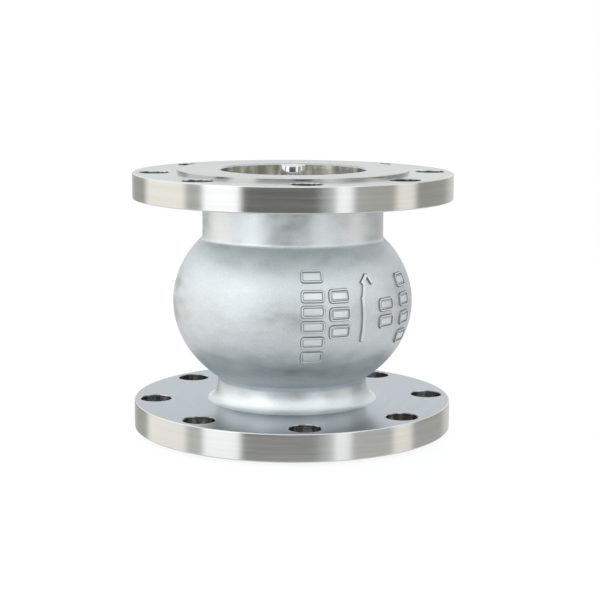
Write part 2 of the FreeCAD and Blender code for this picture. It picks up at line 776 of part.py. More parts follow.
def retainer_screws():
    """Countersunk socket screws through the plate into the disc."""
    screws = []
    count = int(value("screw_count"))
    shank_radius = "screw_diameter / 2 - seating_gap"
    cone_height = "screw_head / 2 - screw_diameter / 2"
    for number in range(count):
        head = doc.addObject("Part::Cone", "screw_head_%d" % number)
        head.setExpression("Radius1", bound("screw_head / 2"))
        head.setExpression("Radius2", bound(shank_radius))
        head.setExpression("Height", bound(cone_height))
        shank = doc.addObject("Part::Cylinder", "screw_shank_%d" % number)
        shank.setExpression("Radius", bound(shank_radius))
        shank.setExpression("Height", bound("screw_length"))
        blank = doc.addObject("Part::Fuse", "screw_blank_%d" % number)
        blank.Base = head
        blank.Tool = shank
        socket = doc.addObject("Part::Prism", "screw_socket_%d" % number)
        socket.Polygon = 6
        socket.setExpression("Circumradius", bound("screw_socket / sqrt(3)"))
        socket.setExpression("Height", bound("screw_socket_depth"))
        screw = doc.addObject("Part::Cut", "screw_%d" % number)
        screw.Base = blank
        screw.Tool = socket
        turned = "(%d * 360 deg / screw_count)" % number
        screw.setExpression(
            "Placement.Base.x", bound("screw_circle / 2 * cos" + turned))
        screw.setExpression(
            "Placement.Base.y", bound("screw_circle / 2 * sin" + turned))
        screw.setExpression("Placement.Base.z", bound("retainer_base"))
        screws.append(screw)
    group = doc.addObject("Part::Compound", "retainer_screws")
    group.Label = "retainer_screws"
    group.Links = screws
    PARTS.append(group)
    doc.recompute()


def stem():
    """One turned shaft: foot, collar under the disc, thread, guide and tip."""
    body = new_body("stem")
    turn(body, "shaft", [
        ("0", "stem_foot"),
        ("stem_diameter / 2 - stem_chamfer", "stem_foot"),
        ("stem_diameter / 2", "stem_foot + stem_chamfer"),
        ("stem_diameter / 2", "disc_seat - collar_height"),
        ("collar_diameter / 2", "disc_seat - collar_height"),
        ("collar_diameter / 2", "disc_seat"),
        ("thread_diameter / 2", "disc_seat"),
        ("thread_diameter / 2", "nut_top + thread_runout / 2"),
        ("stem_diameter / 2", "nut_top + thread_runout"),
        ("stem_diameter / 2", "stem_top - stem_chamfer"),
        ("stem_diameter / 2 - stem_chamfer", "stem_top"),
        ("0", "stem_top"),
    ])
    turn(body, "centre_hole", [
        ("0", "stem_top - centre_hole"),
        ("centre_hole / 4", "stem_top - centre_hole * 3 / 4"),
        ("centre_hole / 4", "stem_top - centre_hole * 0.43"),
        ("centre_hole / 2", "stem_top"),
        ("0", "stem_top"),
    ], cut=True)


def stem_o_ring():
    """The ring that seals the stem to the disc, in the corner above the collar."""
    body = new_body("stem_o_ring")
    sketch = new_sketch(body, "wire_section", "XZ_Plane")
    middle = "thread_diameter / 2 + 2 * seating_gap + o_ring_wire / 2"
    add_circle(sketch, "o_ring_wire / 2", middle, "disc_seat + seating_gap + o_ring_wire / 2")
    sweep_round(body, "ring", sketch)


def disc_nut():
    """A thin hexagon nut with both faces bevelled at the corners."""
    body = new_body("disc_nut")
    plan = new_sketch(body, "hexagon_plan", "XY_Plane", "nut_base")
    corners = []
    for number in range(6):
        angle = "(%d deg)" % (60 * number + 30)
        corners.append((
            "nut_flats / sqrt(3) * cos" + angle,
            "nut_flats / sqrt(3) * sin" + angle,
        ))
    add_outline(plan, corners)
    push(body, "blank", plan, "nut_height")
    bore_plan = new_sketch(body, "bore_plan", "XY_Plane", "nut_base")
    add_circle(bore_plan, "thread_diameter / 2 + seating_gap")
    push(body, "bore", bore_plan, cut=True, reverse=True)
    corner = "nut_flats / sqrt(3)"
    drop = "(nut_flats / sqrt(3) - nut_flats / 2) * tan(30 deg)"
    turn(body, "top_bevel", [
        ("nut_flats / 2", "nut_top"),
        (corner, "nut_top - " + drop),
        (corner + " + nut_height", "nut_top - " + drop),
        (corner + " + nut_height", "nut_top + nut_height"),
        ("nut_flats / 2", "nut_top + nut_height"),
    ], cut=True)


def tab_washer():
    """A locking washer with one tab turned up against a flat of the nut."""
    body = new_body("tab_washer")
    turn(body, "washer", [
        ("thread_diameter / 2 + seating_gap", "hub_top"),
        ("washer_diameter / 2", "hub_top"),
        ("washer_diameter / 2", "nut_base"),
        ("thread_diameter / 2 + seating_gap", "nut_base"),
    ])
    plan = new_sketch(body, "tab_plan", "XY_Plane", "hub_top")
    inner = "nut_flats / 2 + seating_gap"
    add_outline(plan, [
        (inner, "-tab_width / 2"),
        (inner + " + washer_height", "-tab_width / 2"),
        (inner + " + washer_height", "tab_width / 2"),
        (inner, "tab_width / 2"),
    ])
    push(body, "tab", plan, "washer_height + tab_height")


def spring_seat():
    """The lipped washer on the disc that centres the spring."""
    body = new_body("spring_seat")
    outer = "spring_seat_diameter / 2"
    turn(body, "cup", [
        ("disc_hub / 2 + spring_seat_gap", "disc_top"),
        (outer, "disc_top"),
        (outer, "spring_base + spring_seat_lip"),
        (outer + " - spring_seat_lip_width", "spring_base + spring_seat_lip"),
        (outer + " - spring_seat_lip_width", "spring_base"),
        ("disc_hub / 2 + spring_seat_gap", "spring_base"),
    ])


def spring():
    """The closing spring, between the seat on the disc and the hub's flange."""
    body = new_body("spring")
    sketch = new_sketch(body, "wire_section", "XZ_Plane")
    start = "spring_base + spring_gap + spring_wire / 2"
    add_circle(sketch, "spring_wire / 2", "spring_diameter / 2", start)
    coil = body.newObject("PartDesign::AdditiveHelix", "coil")
    coil.Profile = sketch
    coil.ReferenceAxis = (sketch, ["V_Axis"])
    coil.Mode = "height-turns-angle"
    coil.setExpression(
        "Height",
        bound("spring_top - spring_rest_gap - spring_wire - spring_gap - spring_base"))
    coil.setExpression("Turns", bound("spring_turns"))
    doc.recompute()


def check_document():
    """Stop with a plain message if any object or any piece's shape failed."""
    for item in doc.Objects:
        if "Invalid" in item.State or "Error" in item.State:
            raise RuntimeError("%s failed: %s" % (item.Name, item.State))
    for piece in PARTS:
        shape = piece.Shape
        if shape.isNull() or not shape.isValid() or shape.Volume <= 0:
            raise RuntimeError("%s has no valid shape" % piece.Label)


def write_steps():
    """Write each piece to its own file and print its volume."""
    os.makedirs("parts", exist_ok=True)
    for piece in PARTS:
        piece.Shape.exportStep(os.path.join("parts", piece.Label + ".step"))
        print("%-16s %2d solid(s) %10.1f mm3" % (
            piece.Label, len(piece.Shape.Solids), piece.Shape.Volume))


fill_sheet()
valve_body()
seat_pieces()
upper_guide()
lower_guide()
bushes()
circlip("upper_circlip", "outlet_bore", "upper_rim_top + clip_gap_height / 2", "upper_clip_height")
circlip("lower_circlip", "inlet_bore", "lower_groove_base + clip_gap_height / 2", "lower_clip_height")
disc()
disc_seal()
seal_retainer()
retainer_screws()
stem()
stem_o_ring()
disc_nut()
tab_washer()
spring_seat()
spring()
doc.recompute()
check_document()
write_steps()
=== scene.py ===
"""Looks of a silent non-return valve: a cast globe between two turned flanges, with a guided disc inside."""
import logging
import math
from dataclasses import dataclass, field
from enum import Enum, IntEnum

import bmesh
import bpy
import numpy as np
from mathutils import Matrix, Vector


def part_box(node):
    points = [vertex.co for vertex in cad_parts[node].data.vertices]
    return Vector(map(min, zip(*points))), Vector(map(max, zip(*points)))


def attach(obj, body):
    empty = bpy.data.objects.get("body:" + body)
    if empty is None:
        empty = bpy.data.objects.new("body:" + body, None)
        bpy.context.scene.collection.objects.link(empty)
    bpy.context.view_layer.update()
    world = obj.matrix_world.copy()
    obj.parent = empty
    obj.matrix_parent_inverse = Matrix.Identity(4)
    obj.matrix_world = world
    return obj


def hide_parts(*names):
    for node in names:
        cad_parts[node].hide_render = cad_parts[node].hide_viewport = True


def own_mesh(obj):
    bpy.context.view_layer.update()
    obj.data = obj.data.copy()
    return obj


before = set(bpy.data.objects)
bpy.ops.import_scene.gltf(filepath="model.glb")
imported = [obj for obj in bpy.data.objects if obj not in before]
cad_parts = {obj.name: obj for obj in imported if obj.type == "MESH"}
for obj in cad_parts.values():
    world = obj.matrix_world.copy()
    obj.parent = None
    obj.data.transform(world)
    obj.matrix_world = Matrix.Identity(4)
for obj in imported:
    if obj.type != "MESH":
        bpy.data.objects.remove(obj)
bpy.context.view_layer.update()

MM = 0.001
MERGE_DISTANCE = 1e-6
LOG = logging.getLogger("valve")

Colour = tuple[float, float, float]
Pair = tuple[float, float]
Triple = tuple[float, float, float]
Material = bpy.types.Material
Object = bpy.types.Object
Socket = bpy.types.NodeSocket


class Body(Enum):
    """The two bodies that the pieces ride on."""

    CASING = "casing"
    DISC = "disc_assembly"


class Slot(Enum):
    """The record's material slots."""

    CAST = "cast_steel"
    TURNED = "turned_steel"
    POLISHED = "polished_steel"
    SPRING = "spring_steel"
    BRONZE = "bush_bronze"
    SOFT = "soft_white"
    RUBBER = "black_rubber"


class Zone(IntEnum):
    """The casting's zones, each with the finish of the same name. The number is that of its material."""

    CAST = 0
    TURNED = 1
    BORED = 2
    # the lower flange's back, whose finish carries a painted shade
    FACED_SHADED = 3
    DRILLED = 4
    NECK = 5
    FLAT = 6


class Tint(Enum):
    """Tints of the studio's light, as shares of red, green and blue."""

    COOL = (0.97, 1.0, 1.03)
    PLAIN = (1.01, 1.0, 0.965)
    WARM = (1.02, 1.0, 0.95)
    OLIVE = (0.99, 1.0, 0.94)


def top_of(node: str) -> float:
    """The highest level of a CAD node, in millimetres."""
    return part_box(node)[1][2] / MM


def foot_of(node: str) -> float:
    """The lowest level of a CAD node, in millimetres."""
    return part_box(node)[0][2] / MM


def radius_of(node: str) -> float:
    """Half the width of a CAD node along X, in millimetres."""
    low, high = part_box(node)
    return (high[0] - low[0]) / 2 / MM


# Profiles and surfaces


@dataclass(frozen=True)
class Ellipsoid:
    """An upright ellipsoid about the axis: its middle's level, half its width and half its height."""

    level: float
    radius: float
    rise: float

    def radius_at(self, level: float | np.ndarray) -> float | np.ndarray:
        """The distance from the axis at a level: radius times the root of one less the squared share.

        Args:
            level: The level.

        Returns:
            The distance.
        """
        return self.radius * np.sqrt(1 - ((level - self.level) / self.rise) ** 2)

    def level_at(self, radius: float) -> float:
        """The upper level at a distance from the axis: the same formula with radius and rise exchanged."""
        return self.level + self.rise * math.sqrt(1 - (radius / self.radius) ** 2)

    def wall(self, start: float, end: float, steps: int) -> np.ndarray:
        """Points of the ellipsoid's profile between two levels.

        The point at a turn is radius times its cosine, and the middle's level plus rise times its sine.

        Args:
            start: First level.
            end: Last level.
            steps: Number of steps.

        Returns:
            Rows of radius and level.
        """
        first, last = (math.asin((level - self.level) / self.rise) for level in (start, end))
        turn = np.linspace(first, last, steps + 1)
        return np.stack([self.radius * np.cos(turn), self.level + self.rise * np.sin(turn)], axis=-1)


GLOBE = Ellipsoid(75.4961, 69.6, 56.7)


@dataclass
class Profile:
    """A line of radius and level pairs whose corners can be rounded.

    Every corner is a point with the radius of its fillet, and a fillet is an exact arc between the two legs.
    The support is the distance of an extra point beyond each end of an arc, and the shares say how much of a
    leg a fillet may take, and how much it may take with its support.
    """

    corners: list[Triple] = field(default_factory=list)
    support: float = 0.15
    fillet_share: float = 0.98
    support_share: float = 0.45

    def to(self, radius: float, level: float, fillet: float = 0.0) -> "Profile":
        """Go on to a corner.

        Args:
            radius: Distance from the axis, in millimetres.
            level: Height, in millimetres.
            fillet: Radius of the corner's arc, or 0 for a sharp corner.

        Returns:
            The profile itself, so that calls can follow each other.
        """
        self.corners.append((radius, level, fillet))
        return self

    def along(self, points: np.ndarray) -> "Profile":
        """Go on through the rows of an array of radius and level."""
        self.corners += [(float(r), float(z), 0.0) for r, z in points]
        return self

    def points(self, steps: int = 6) -> np.ndarray:
        """The profile with its arcs worked out.

        A fillet starts and ends one tangent length from its corner, radius times the tangent of half the
        turn. Its points are the rational quadratic blend of start, corner and end with the cosine of half the
        turn as the corner's weight, which is a true arc. Where there is room, one more point beyond each end
        of the arc keeps the shading of the straight stretch beside it straight.

        Args:
            steps: Number of lengths that each arc is cut into.

        Returns:
            An array of radius and level, one row a point.
        """
        rows = []
        places = np.array([c[:2] for c in self.corners])
        for i, (r, z, fillet) in enumerate(self.corners):
            if not fillet or i in (0, len(self.corners) - 1):
                rows.append([[r, z]])
                continue
            back, on = places[i - 1] - places[i], places[i + 1] - places[i]
            long_back, long_on = np.linalg.norm(back), np.linalg.norm(on)
            back, on = back / long_back, on / long_on
            half_turn = (math.pi - math.acos(float(np.clip(back @ on, -1, 1)))) / 2
            room = self.fillet_share * min(long_back, long_on)
            reach = min(fillet * math.tan(half_turn), room)
            start, corner, end = places[i] + back * reach, places[i], places[i] + on * reach
            t = np.linspace(0, 1, steps + 1)[:, None]
            middle = 2 * t * (1 - t) * math.cos(half_turn)
            weight = (1 - t) ** 2 + middle + t**2
            arc = ((1 - t) ** 2 * start + middle * corner + t**2 * end) / weight
            taken = reach + self.support
            before = [start + back * self.support] if taken < self.support_share * long_back else []
            after = [end + on * self.support] if taken < self.support_share * long_on else []
            rows.append(np.vstack([*before, arc, *after]))
        return np.vstack(rows)


@dataclass
class Surface:
    """Vertices in millimetres with quads, and the material number of each quad."""

    vertices: np.ndarray
    quads: np.ndarray
    slots: np.ndarray

    @staticmethod
    def grid(points: np.ndarray, close_rows: bool = False, close_columns: bool = False,
             slot: int = 0) -> "Surface":
        """A surface through a grid of points.

        Args:
            points: Array of rows, columns and three coordinates.
            close_rows: Whether the last row joins the first.
            close_columns: Whether the last column joins the first.
            slot: Material number of its quads.

        Returns:
            The surface, one quad for each cell of the grid.
        """
        rows, columns = points.shape[:2]
        number = np.arange(rows * columns).reshape(rows, columns)
        if close_rows:
            number = np.vstack([number, number[:1]])
        if close_columns:
            number = np.hstack([number, number[:, :1]])
        quads = np.stack([number[:-1, :-1], number[:-1, 1:], number[1:, 1:], number[1:, :-1]], axis=-1)
        quads = quads.reshape(-1, 4)
        return Surface(points.reshape(-1, 3), quads, np.full(len(quads), int(slot)))

    @staticmethod
    def joined(parts: list["Surface"]) -> "Surface":
        """Several surfaces as one.

        Args:
            parts: The surfaces.

        Returns:
            Their quads in order, with the vertices numbered on from part to part.
        """
        shift = np.cumsum([0] + [len(p.vertices) for p in parts[:-1]])
        quads = np.vstack([p.quads + s for p, s in zip(parts, shift)])
        slots = np.concatenate([p.slots for p in parts])
        return Surface(np.vstack([p.vertices for p in parts]), quads, slots)

    @staticmethod
    def tube(points: np.ndarray) -> "Surface":
        """A surface along rings of points, its two ends closed to the middle of the first and last ring.

        Args:
            points: Array of rings, points on each ring and three coordinates.

        Returns:
            The closed surface.
        """
        ends = [np.repeat(points[i].mean(axis=0)[None, None], points.shape[1], axis=1) for i in (0, -1)]
        return Surface.grid(np.vstack([ends[0], points, ends[1]]), close_columns=True)


def around(profile: np.ndarray, angles: np.ndarray) -> np.ndarray:
    """Points of a profile carried round the Z axis.

    Each point is radius times cosine, radius times sine, and the level, for every angle.

    Args:
        profile: Rows of radius and level.
        angles: Angles in radians.

    Returns:
        Array of profile points, angles and three coordinates.
    """
    radius, level = profile[:, :1], profile[:, 1:]
    return np.stack([radius * np.cos(angles), radius * np.sin(angles), level + 0 * angles], axis=-1)


def turned(profile: np.ndarray, count: int = 192, closed: bool = True) -> Surface:
    """A turned piece: a profile carried all the way round.

    Args:
        profile: Rows of radius and level, a loop if closed, or else a line with its ends on the axis.
        count: Number of steps round.
        closed: Whether the profile's last point joins its first.

    Returns:
        The turned surface.
    """
    angles = np.linspace(0, 2 * math.pi, count, endpoint=False)
    return Surface.grid(around(profile, angles), close_rows=closed, close_columns=True)


def circle(radius: float, count: int) -> np.ndarray:
    """A closed loop of points on a circle, as two coordinates."""
    angles = np.linspace(0, 2 * math.pi, count, endpoint=False)
    return radius * np.stack([np.cos(angles), np.sin(angles)], axis=-1)


def rounded_box(low: Pair, high: Pair, fillet: float, steps: int = 4) -> np.ndarray:
    """A closed rectangle with rounded corners.

    Args:
        low: Its lower corner's radius and level.
        high: Its upper corner's radius and level.
        fillet: Radius of its corners.
        steps: Number of lengths that each corner is cut into.

    Returns:
        Rows of radius and level, a loop.
    """
    (a, b), (c, d) = low, high
    middle = (a + c) / 2
    line = Profile().to(middle, b).to(c, b, fillet).to(c, d, fillet).to(a, d, fillet).to(a, b, fillet)
    return line.to(middle, b).points(steps)[:-1]


def make_object(name: str, surface: Surface, sharp: float = 32.0) -> Object:
    """Put a surface into the scene as one closed piece with smooth shading.

    Args:
        name: The piece's name.
        surface: Its surface, in millimetres.
        sharp: Angle in degrees past which an edge stays sharp.

    Returns:
        The new object, at the origin, its faces outwards.
    """
    mesh = bpy.data.meshes.new(name)
    mesh.from_pydata((surface.vertices * MM).tolist(), [], surface.quads.tolist())
    mesh.polygons.foreach_set("material_index", surface.slots.astype(np.int32))
    return finish_mesh(name, mesh, sharp)


def finish_mesh(name: str, mesh: bpy.types.Mesh, sharp: float) -> Object:
    """Merge a mesh's doubles, turn its faces outwards, shade it and link it as an object.

    Args:
        name: The object's name.
        mesh: The mesh to clean.
        sharp: Angle in degrees past which an edge stays sharp.

    Returns:
        The object that holds the mesh.
    """
    work = bmesh.new()
    work.from_mesh(mesh)
    bmesh.ops.remove_doubles(work, verts=work.verts, dist=MERGE_DISTANCE)
    bmesh.ops.dissolve_degenerate(work, edges=work.edges, dist=MERGE_DISTANCE / 10)
    bmesh.ops.recalc_face_normals(work, faces=work.faces)
    work.to_mesh(mesh)
    work.free()
    mesh.shade_smooth()
    mesh.set_sharp_from_angle(angle=math.radians(sharp))
    piece = bpy.data.objects.new(name, mesh)
    bpy.context.scene.collection.objects.link(piece)
    return piece


def smooth_copy(name: str, node: str, sharp: float = 30.0) -> Object:
    """A merged and smoothly shaded copy of a CAD node's mesh, at the origin."""
    return finish_mesh(name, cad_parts[node].data.copy(), sharp)


# Finishes


class Graph:
    """A node tree, with short calls for the nodes that the materials and the room share."""

    def __init__(self, tree: bpy.types.NodeTree) -> None:
        """Keep the tree."""
        self.tree = tree

    def new(self, kind: str, **settings: object) -> bpy.types.Node:
        """Add a node.

        Args:
            kind: The node's type.
            settings: Its properties.

        Returns:
            The node.
        """
        node = self.tree.nodes.new(kind)
        for key, setting in settings.items():
            setattr(node, key, setting)
        return node

    def link(self, source: Socket, target: Socket) -> None:
        """Join two sockets."""
        self.tree.links.new(source, target)

    def feed(self, value: Socket | float | Colour, target: Socket) -> None:
        """Join a socket to another one, or set that one to a number or a colour.

        Args:
            value: The first socket, the number or the colour.
            target: The socket that takes it.
        """
        if isinstance(value, Socket):
            self.link(value, target)
        elif isinstance(value, tuple):
            target.default_value = (*value, 1.0)
        else:
            target.default_value = value

    def maths(self, operation: str, first: Socket | float, second: Socket | float) -> Socket:
        """The result of a sum.

        Args:
            operation: The kind of sum.
            first: The first socket or number.
            second: The second one.

        Returns:
            The result's socket.
        """
        node = self.new("ShaderNodeMath", operation=operation)
        self.feed(first, node.inputs[0])
        self.feed(second, node.inputs[1])
        return node.outputs[0]

    def sum(self, first: Socket, second: Socket, factor: float) -> Socket:
        """The sum of two values, times a factor."""
        return self.maths("MULTIPLY", self.maths("ADD", first, second), factor)

    def ranged(self, value: Socket, low: float, high: float, start: float = 0.3, end: float = 0.7,
               blend: str = "LINEAR") -> Socket:
        """A value's stretch from start to end carried onto low to high.

        Args:
            value: The value.
            low: What it becomes at the start.
            high: What it becomes at the end.
            start: The stretch's start.
            end: The stretch's end.
            blend: The kind of blend between the two.

        Returns:
            The result's socket.
        """
        node = self.new("ShaderNodeMapRange", interpolation_type=blend)
        for key, setting in (("From Min", start), ("From Max", end), ("To Min", low), ("To Max", high)):
            node.inputs[key].default_value = setting
        self.link(value, node.inputs["Value"])
        return node.outputs["Result"]

    def mixed(self, share: Socket, first: Socket | Colour, second: Socket | Colour) -> Socket:
        """Two colours blended.

        Args:
            share: The second one's share.
            first: The first colour or its socket.
            second: The second one.

        Returns:
            The blend's socket.
        """
        node = self.new("ShaderNodeMix", data_type="RGBA")
        for key, value in (("Factor", share), ("A", first), ("B", second)):
            self.feed(value, node.inputs[key])
        return node.outputs["Result"]

    def ramp(self, value: Socket, stops: list[tuple[float, Colour]]) -> Socket:
        """A colour for each value.

        Args:
            value: The value.
            stops: Places and colours, from the lowest place on. Between them the colours blend.

        Returns:
            The colour's socket.
        """
        node = self.new("ShaderNodeValToRGB")
        elements = node.color_ramp.elements
        elements.remove(elements[1])
        elements[0].position, elements[0].color = stops[0][0], (*stops[0][1], 1.0)
        for place, colour in stops[1:]:
            elements.new(place).color = (*colour, 1.0)
        self.link(value, node.inputs["Fac"])
        return node.outputs["Color"]


class Nodes(Graph):
    """A material's node tree, with short calls for what the finishes share."""

    def __init__(self, name: str) -> None:
        """Start a material with one Principled shader.

        Args:
            name: The material's name.
        """
        self.material = bpy.data.materials.new(name)
        self.material.use_nodes = True
        super().__init__(self.material.node_tree)
        self.shader = self.tree.nodes["Principled BSDF"]
        coordinates = self.new("ShaderNodeTexCoord")
        self.place, self.normal = coordinates.outputs["Object"], coordinates.outputs["Normal"]

    def set(self, **values: object) -> None:
        """Feed the shader's own sockets, with underscores for the spaces in their names."""
        for key, value in values.items():
            self.feed(value, self.shader.inputs[key.replace("_", " ")])

    def scaled(self, x: float, y: float, z: float) -> Socket:
        """The object's coordinates, stretched.

        Args:
            x: Factor along X.
            y: Factor along Y.
            z: Factor along Z.

        Returns:
            The vector's socket.
        """
        node = self.new("ShaderNodeMapping")
        node.inputs["Scale"].default_value = (x, y, z)
        self.link(self.place, node.inputs["Vector"])
        return node.outputs["Vector"]

    def vector(self, operation: str, first: Socket, second: Socket | tuple | None = None) -> Socket:
        """The result of a sum on vectors.

        Args:
            operation: The kind of sum.
            first: The first vector.
            second: The second vector's socket or its three numbers, if the sum has one.

        Returns:
            The socket of the result, a number for a length or a product and else a vector.
        """
        node = self.new("ShaderNodeVectorMath", operation=operation)
        self.link(first, node.inputs[0])
        if isinstance(second, Socket):
            self.link(second, node.inputs[1])
        elif second:
            node.inputs[1].default_value = second
        return node.outputs["Value" if operation in ("LENGTH", "DOT_PRODUCT") else "Vector"]

    def lathe(self, pitch: float, drift: float, skew: float = 0.6) -> Socket:
        """Coordinates that change fast across a lathe's cuts and slowly along them.

        The first is the distance from the axis plus the level, over the pitch, the second stays nought, and
        the third drifts slowly across the piece.

        Args:
            pitch: Distance between cuts, in metres.
            drift: Change of the third coordinate for each metre along X.
            skew: Its change along Y, as a share of the drift.

        Returns:
            The vector's socket.
        """
        split, flat = self.new("ShaderNodeSeparateXYZ"), self.new("ShaderNodeCombineXYZ")
        joined = self.new("ShaderNodeCombineXYZ")
        self.link(self.place, split.inputs[0])
        for key in "XY":
            self.link(split.outputs[key], flat.inputs[key])
        away = self.vector("LENGTH", flat.outputs[0])
        self.link(self.sum(away, split.outputs["Z"], 1 / pitch), joined.inputs["X"])
        self.link(self.vector("DOT_PRODUCT", flat.outputs[0], (drift, skew * drift, 0)), joined.inputs["Z"])
        return joined.outputs[0]

    def noise(self, vector: Socket, scale: float, detail: float = 2.0) -> Socket:
        """A noise pattern.

        Args:
            vector: Its coordinates.
            scale: How many patches it has along one unit of them.
            detail: How many finer patterns are laid over it.

        Returns:
            The pattern's value.
        """
        node = self.new("ShaderNodeTexNoise")
        node.inputs["Scale"].default_value = scale
        node.inputs["Detail"].default_value = detail
        self.link(vector, node.inputs["Vector"])
        return node.outputs["Fac"]

    def lean(self, shape: Ellipsoid, steep: float = 0.60, level: float = 0.93) -> Socket:
        """How far the surface leans away from an ellipsoid's.

        The ellipsoid's own normal is the place, less its middle, over the square of its three radii.

        Args:
            shape: The ellipsoid.
            steep: Cosine of the lean that counts as 1.
            level: Cosine of the lean that counts as 0.

        Returns:
            The lean's socket.
        """
        radius, rise = shape.radius * MM, shape.rise * MM
        away = self.vector("SUBTRACT", self.place, (0, 0, shape.level * MM))
        outward = self.vector("NORMALIZE", self.vector("DIVIDE", away, (radius**2, radius**2, rise**2)))
        return self.ranged(self.vector("DOT_PRODUCT", outward, self.normal), 1.0, 0.0, steep, level)

    def bump(self, *layers: tuple[Socket, float, float]) -> None:
        """Stack bumps on the shader's normal.

        Args:
            layers: Height, strength and depth in metres of each bump, the coarsest first.
        """
        normal = None
        for height, strength, depth in layers:
            node = self.new("ShaderNodeBump")
            node.inputs["Strength"].default_value = strength
            node.inputs["Distance"].default_value = depth
            self.link(height, node.inputs["Height"])
            if normal:
                self.link(normal, node.inputs["Normal"])
            normal = node.outputs["Normal"]
        self.link(normal, self.shader.inputs["Normal"])


@dataclass(frozen=True)
class CastSkin:
    """Bead-blasted cast stainless steel: an even grain, smudges, a few pits and faint waves from the mould.

    A painted shade colour, where there is one, takes over as the surface leans away from the globe's,
    darkening the sloping sides of raised marks as shade would.
    """

    name: str = "cast_skin"
    dark: Colour = (0.54, 0.565, 0.57)
    light: Colour = (0.77, 0.79, 0.795)
    roughness: Pair = (0.40, 0.62)
    slope_shade: Colour | None = None
    grain_per_m: float = 1500.0
    grain_depth: float = 0.00005
    grain_strength: float = 0.5
    grain_range: Pair = (0.25, 0.75)
    dimple_per_m: float = 375.0
    dimple_depth: float = 0.00015
    dimple_strength: float = 0.25
    wave_per_m: float = 42.0
    wave_depth: float = 0.0011
    wave_strength: float = 0.25
    smudge_per_m: float = 75.0
    smudge_squash: float = 2.2
    smudge_range: Pair = (0.28, 0.66)
    pit_per_m: float = 110.0
    pit_depth: float = 0.0002
    pit_strength: float = 0.35
    pit_range: Pair = (0.02, 0.09)

    def material(self) -> Material:
        """Make the finish.

        Returns:
            Its material.
        """
        n = Nodes(self.name)
        grain = n.noise(n.place, self.grain_per_m, detail=3.0)
        dimples = n.noise(n.place, self.dimple_per_m)
        waves = n.noise(n.place, self.wave_per_m, detail=3.0)
        smudges = n.noise(n.scaled(1.0, 1.0, self.smudge_squash), self.smudge_per_m, detail=6.0)
        specks = n.ranged(grain, 0.0, 1.0, *self.grain_range)
        clouds = n.ranged(smudges, 0.0, 1.0, *self.smudge_range)
        colour = n.mixed(n.sum(specks, clouds, 0.5), self.dark, self.light)
        if self.slope_shade:
            # painted shade: the surface is darkened where it leans away from the globe, on the sides of the
            # marks
            colour = n.mixed(n.lean(GLOBE), colour, self.slope_shade)
        n.set(Base_Color=colour, Roughness=n.ranged(smudges, *self.roughness), Metallic=1.0)
        pits = n.new("ShaderNodeTexVoronoi")
        pits.inputs["Scale"].default_value = self.pit_per_m
        n.link(n.place, pits.inputs["Vector"])
        hollows = n.ranged(pits.outputs["Distance"], 0.0, 1.0, *self.pit_range)
        n.bump((waves, self.wave_strength, self.wave_depth),
               (hollows, self.pit_strength, self.pit_depth),
               (dimples, self.dimple_strength, self.dimple_depth),
               (grain, self.grain_strength, self.grain_depth))
        return n.material


@dataclass(frozen=True)
class TurnedSkin:
    """Lathe-cut stainless steel: fine grooves round the axis that spread the shine across them.

    The wider bands are nine cuts wide and four times as deep as a cut.
    """

    name: str = "turned_skin"
    dark: Colour = (0.59, 0.585, 0.56)
    light: Colour = (0.66, 0.655, 0.635)
    roughness: Pair = (0.14, 0.20)
    stretch: float = 0.75
    pitch: float = 0.00030
    depth: float = 0.000012
    cut_drift: float = 30.0
    cut_strength: float = 0.25
    band_cuts: float = 9.0
    band_depths: float = 4.0
    band_drift: float = 12.0
    band_strength: float = 0.08
    colour_range: Pair = (0.32, 0.66)

    def material(self) -> Material:
        """Make the finish.

        Returns:
            Its material.
        """
        n = Nodes(self.name)
        cuts = n.noise(n.lathe(self.pitch, self.cut_drift), 1.0)
        bands = n.noise(n.lathe(self.pitch * self.band_cuts, self.band_drift), 1.0, detail=3.0)
        both = n.sum(cuts, bands, 0.5)
        colour = n.ramp(both, list(zip(self.colour_range, (self.dark, self.light))))
        tangent = n.new("ShaderNodeTangent", direction_type="RADIAL", axis="Z").outputs[0]
        n.set(Base_Color=colour, Roughness=n.ranged(both, *self.roughness), Metallic=1.0,
              Anisotropic=self.stretch, Anisotropic_Rotation=0.25, Tangent=tangent)
        n.bump((bands, self.band_strength, self.depth * self.band_depths),
               (cuts, self.cut_strength, self.depth))
        return n.material


@dataclass(frozen=True)
class PlainMetal:
    """A metal with a fine directional grain round its axis, such as ground shafts, wire and bushes."""

    name: str
    dark: Colour
    light: Colour
    roughness: Pair
    pitch: float = 0.0002
    depth: float = 0.000006
    strength: float = 0.5
    drift: float = 60.0
    spots_per_m: float = 350.0
    colour_range: Pair = (0.3, 0.7)

    def material(self) -> Material:
        """Make the finish.

        Returns:
            Its material.
        """
        n = Nodes(self.name)
        lines = n.noise(n.lathe(self.pitch, self.drift), 1.0)
        both = n.sum(lines, n.noise(n.place, self.spots_per_m, detail=3.0), 0.5)
        colour = n.ramp(both, list(zip(self.colour_range, (self.dark, self.light))))
        n.set(Base_Color=colour, Roughness=n.ranged(both, *self.roughness), Metallic=1.0)
        n.bump((lines, self.strength, self.depth))
        return n.material


@dataclass(frozen=True)
class SoftSeal:
    """A dull moulded plastic or rubber with faint mottling."""

    name: str
    dark: Colour
    light: Colour
    roughness: Pair = (0.42, 0.6)
    spots_per_m: float = 260.0
    colour_range: Pair = (0.35, 0.65)
    grain_per_m: float = 1800.0
    grain_depth: float = 0.00002
    grain_strength: float = 0.4

    def material(self) -> Material:
        """Make the finish.

        Returns:
            Its material.
        """
        n = Nodes(self.name)
        spots = n.noise(n.place, self.spots_per_m, detail=4.0)
        colour = n.ramp(spots, list(zip(self.colour_range, (self.dark, self.light))))
        n.set(Base_Color=colour, Roughness=n.ranged(spots, *self.roughness))
        n.bump((n.noise(n.place, self.grain_per_m), self.grain_strength, self.grain_depth))
        return n.material


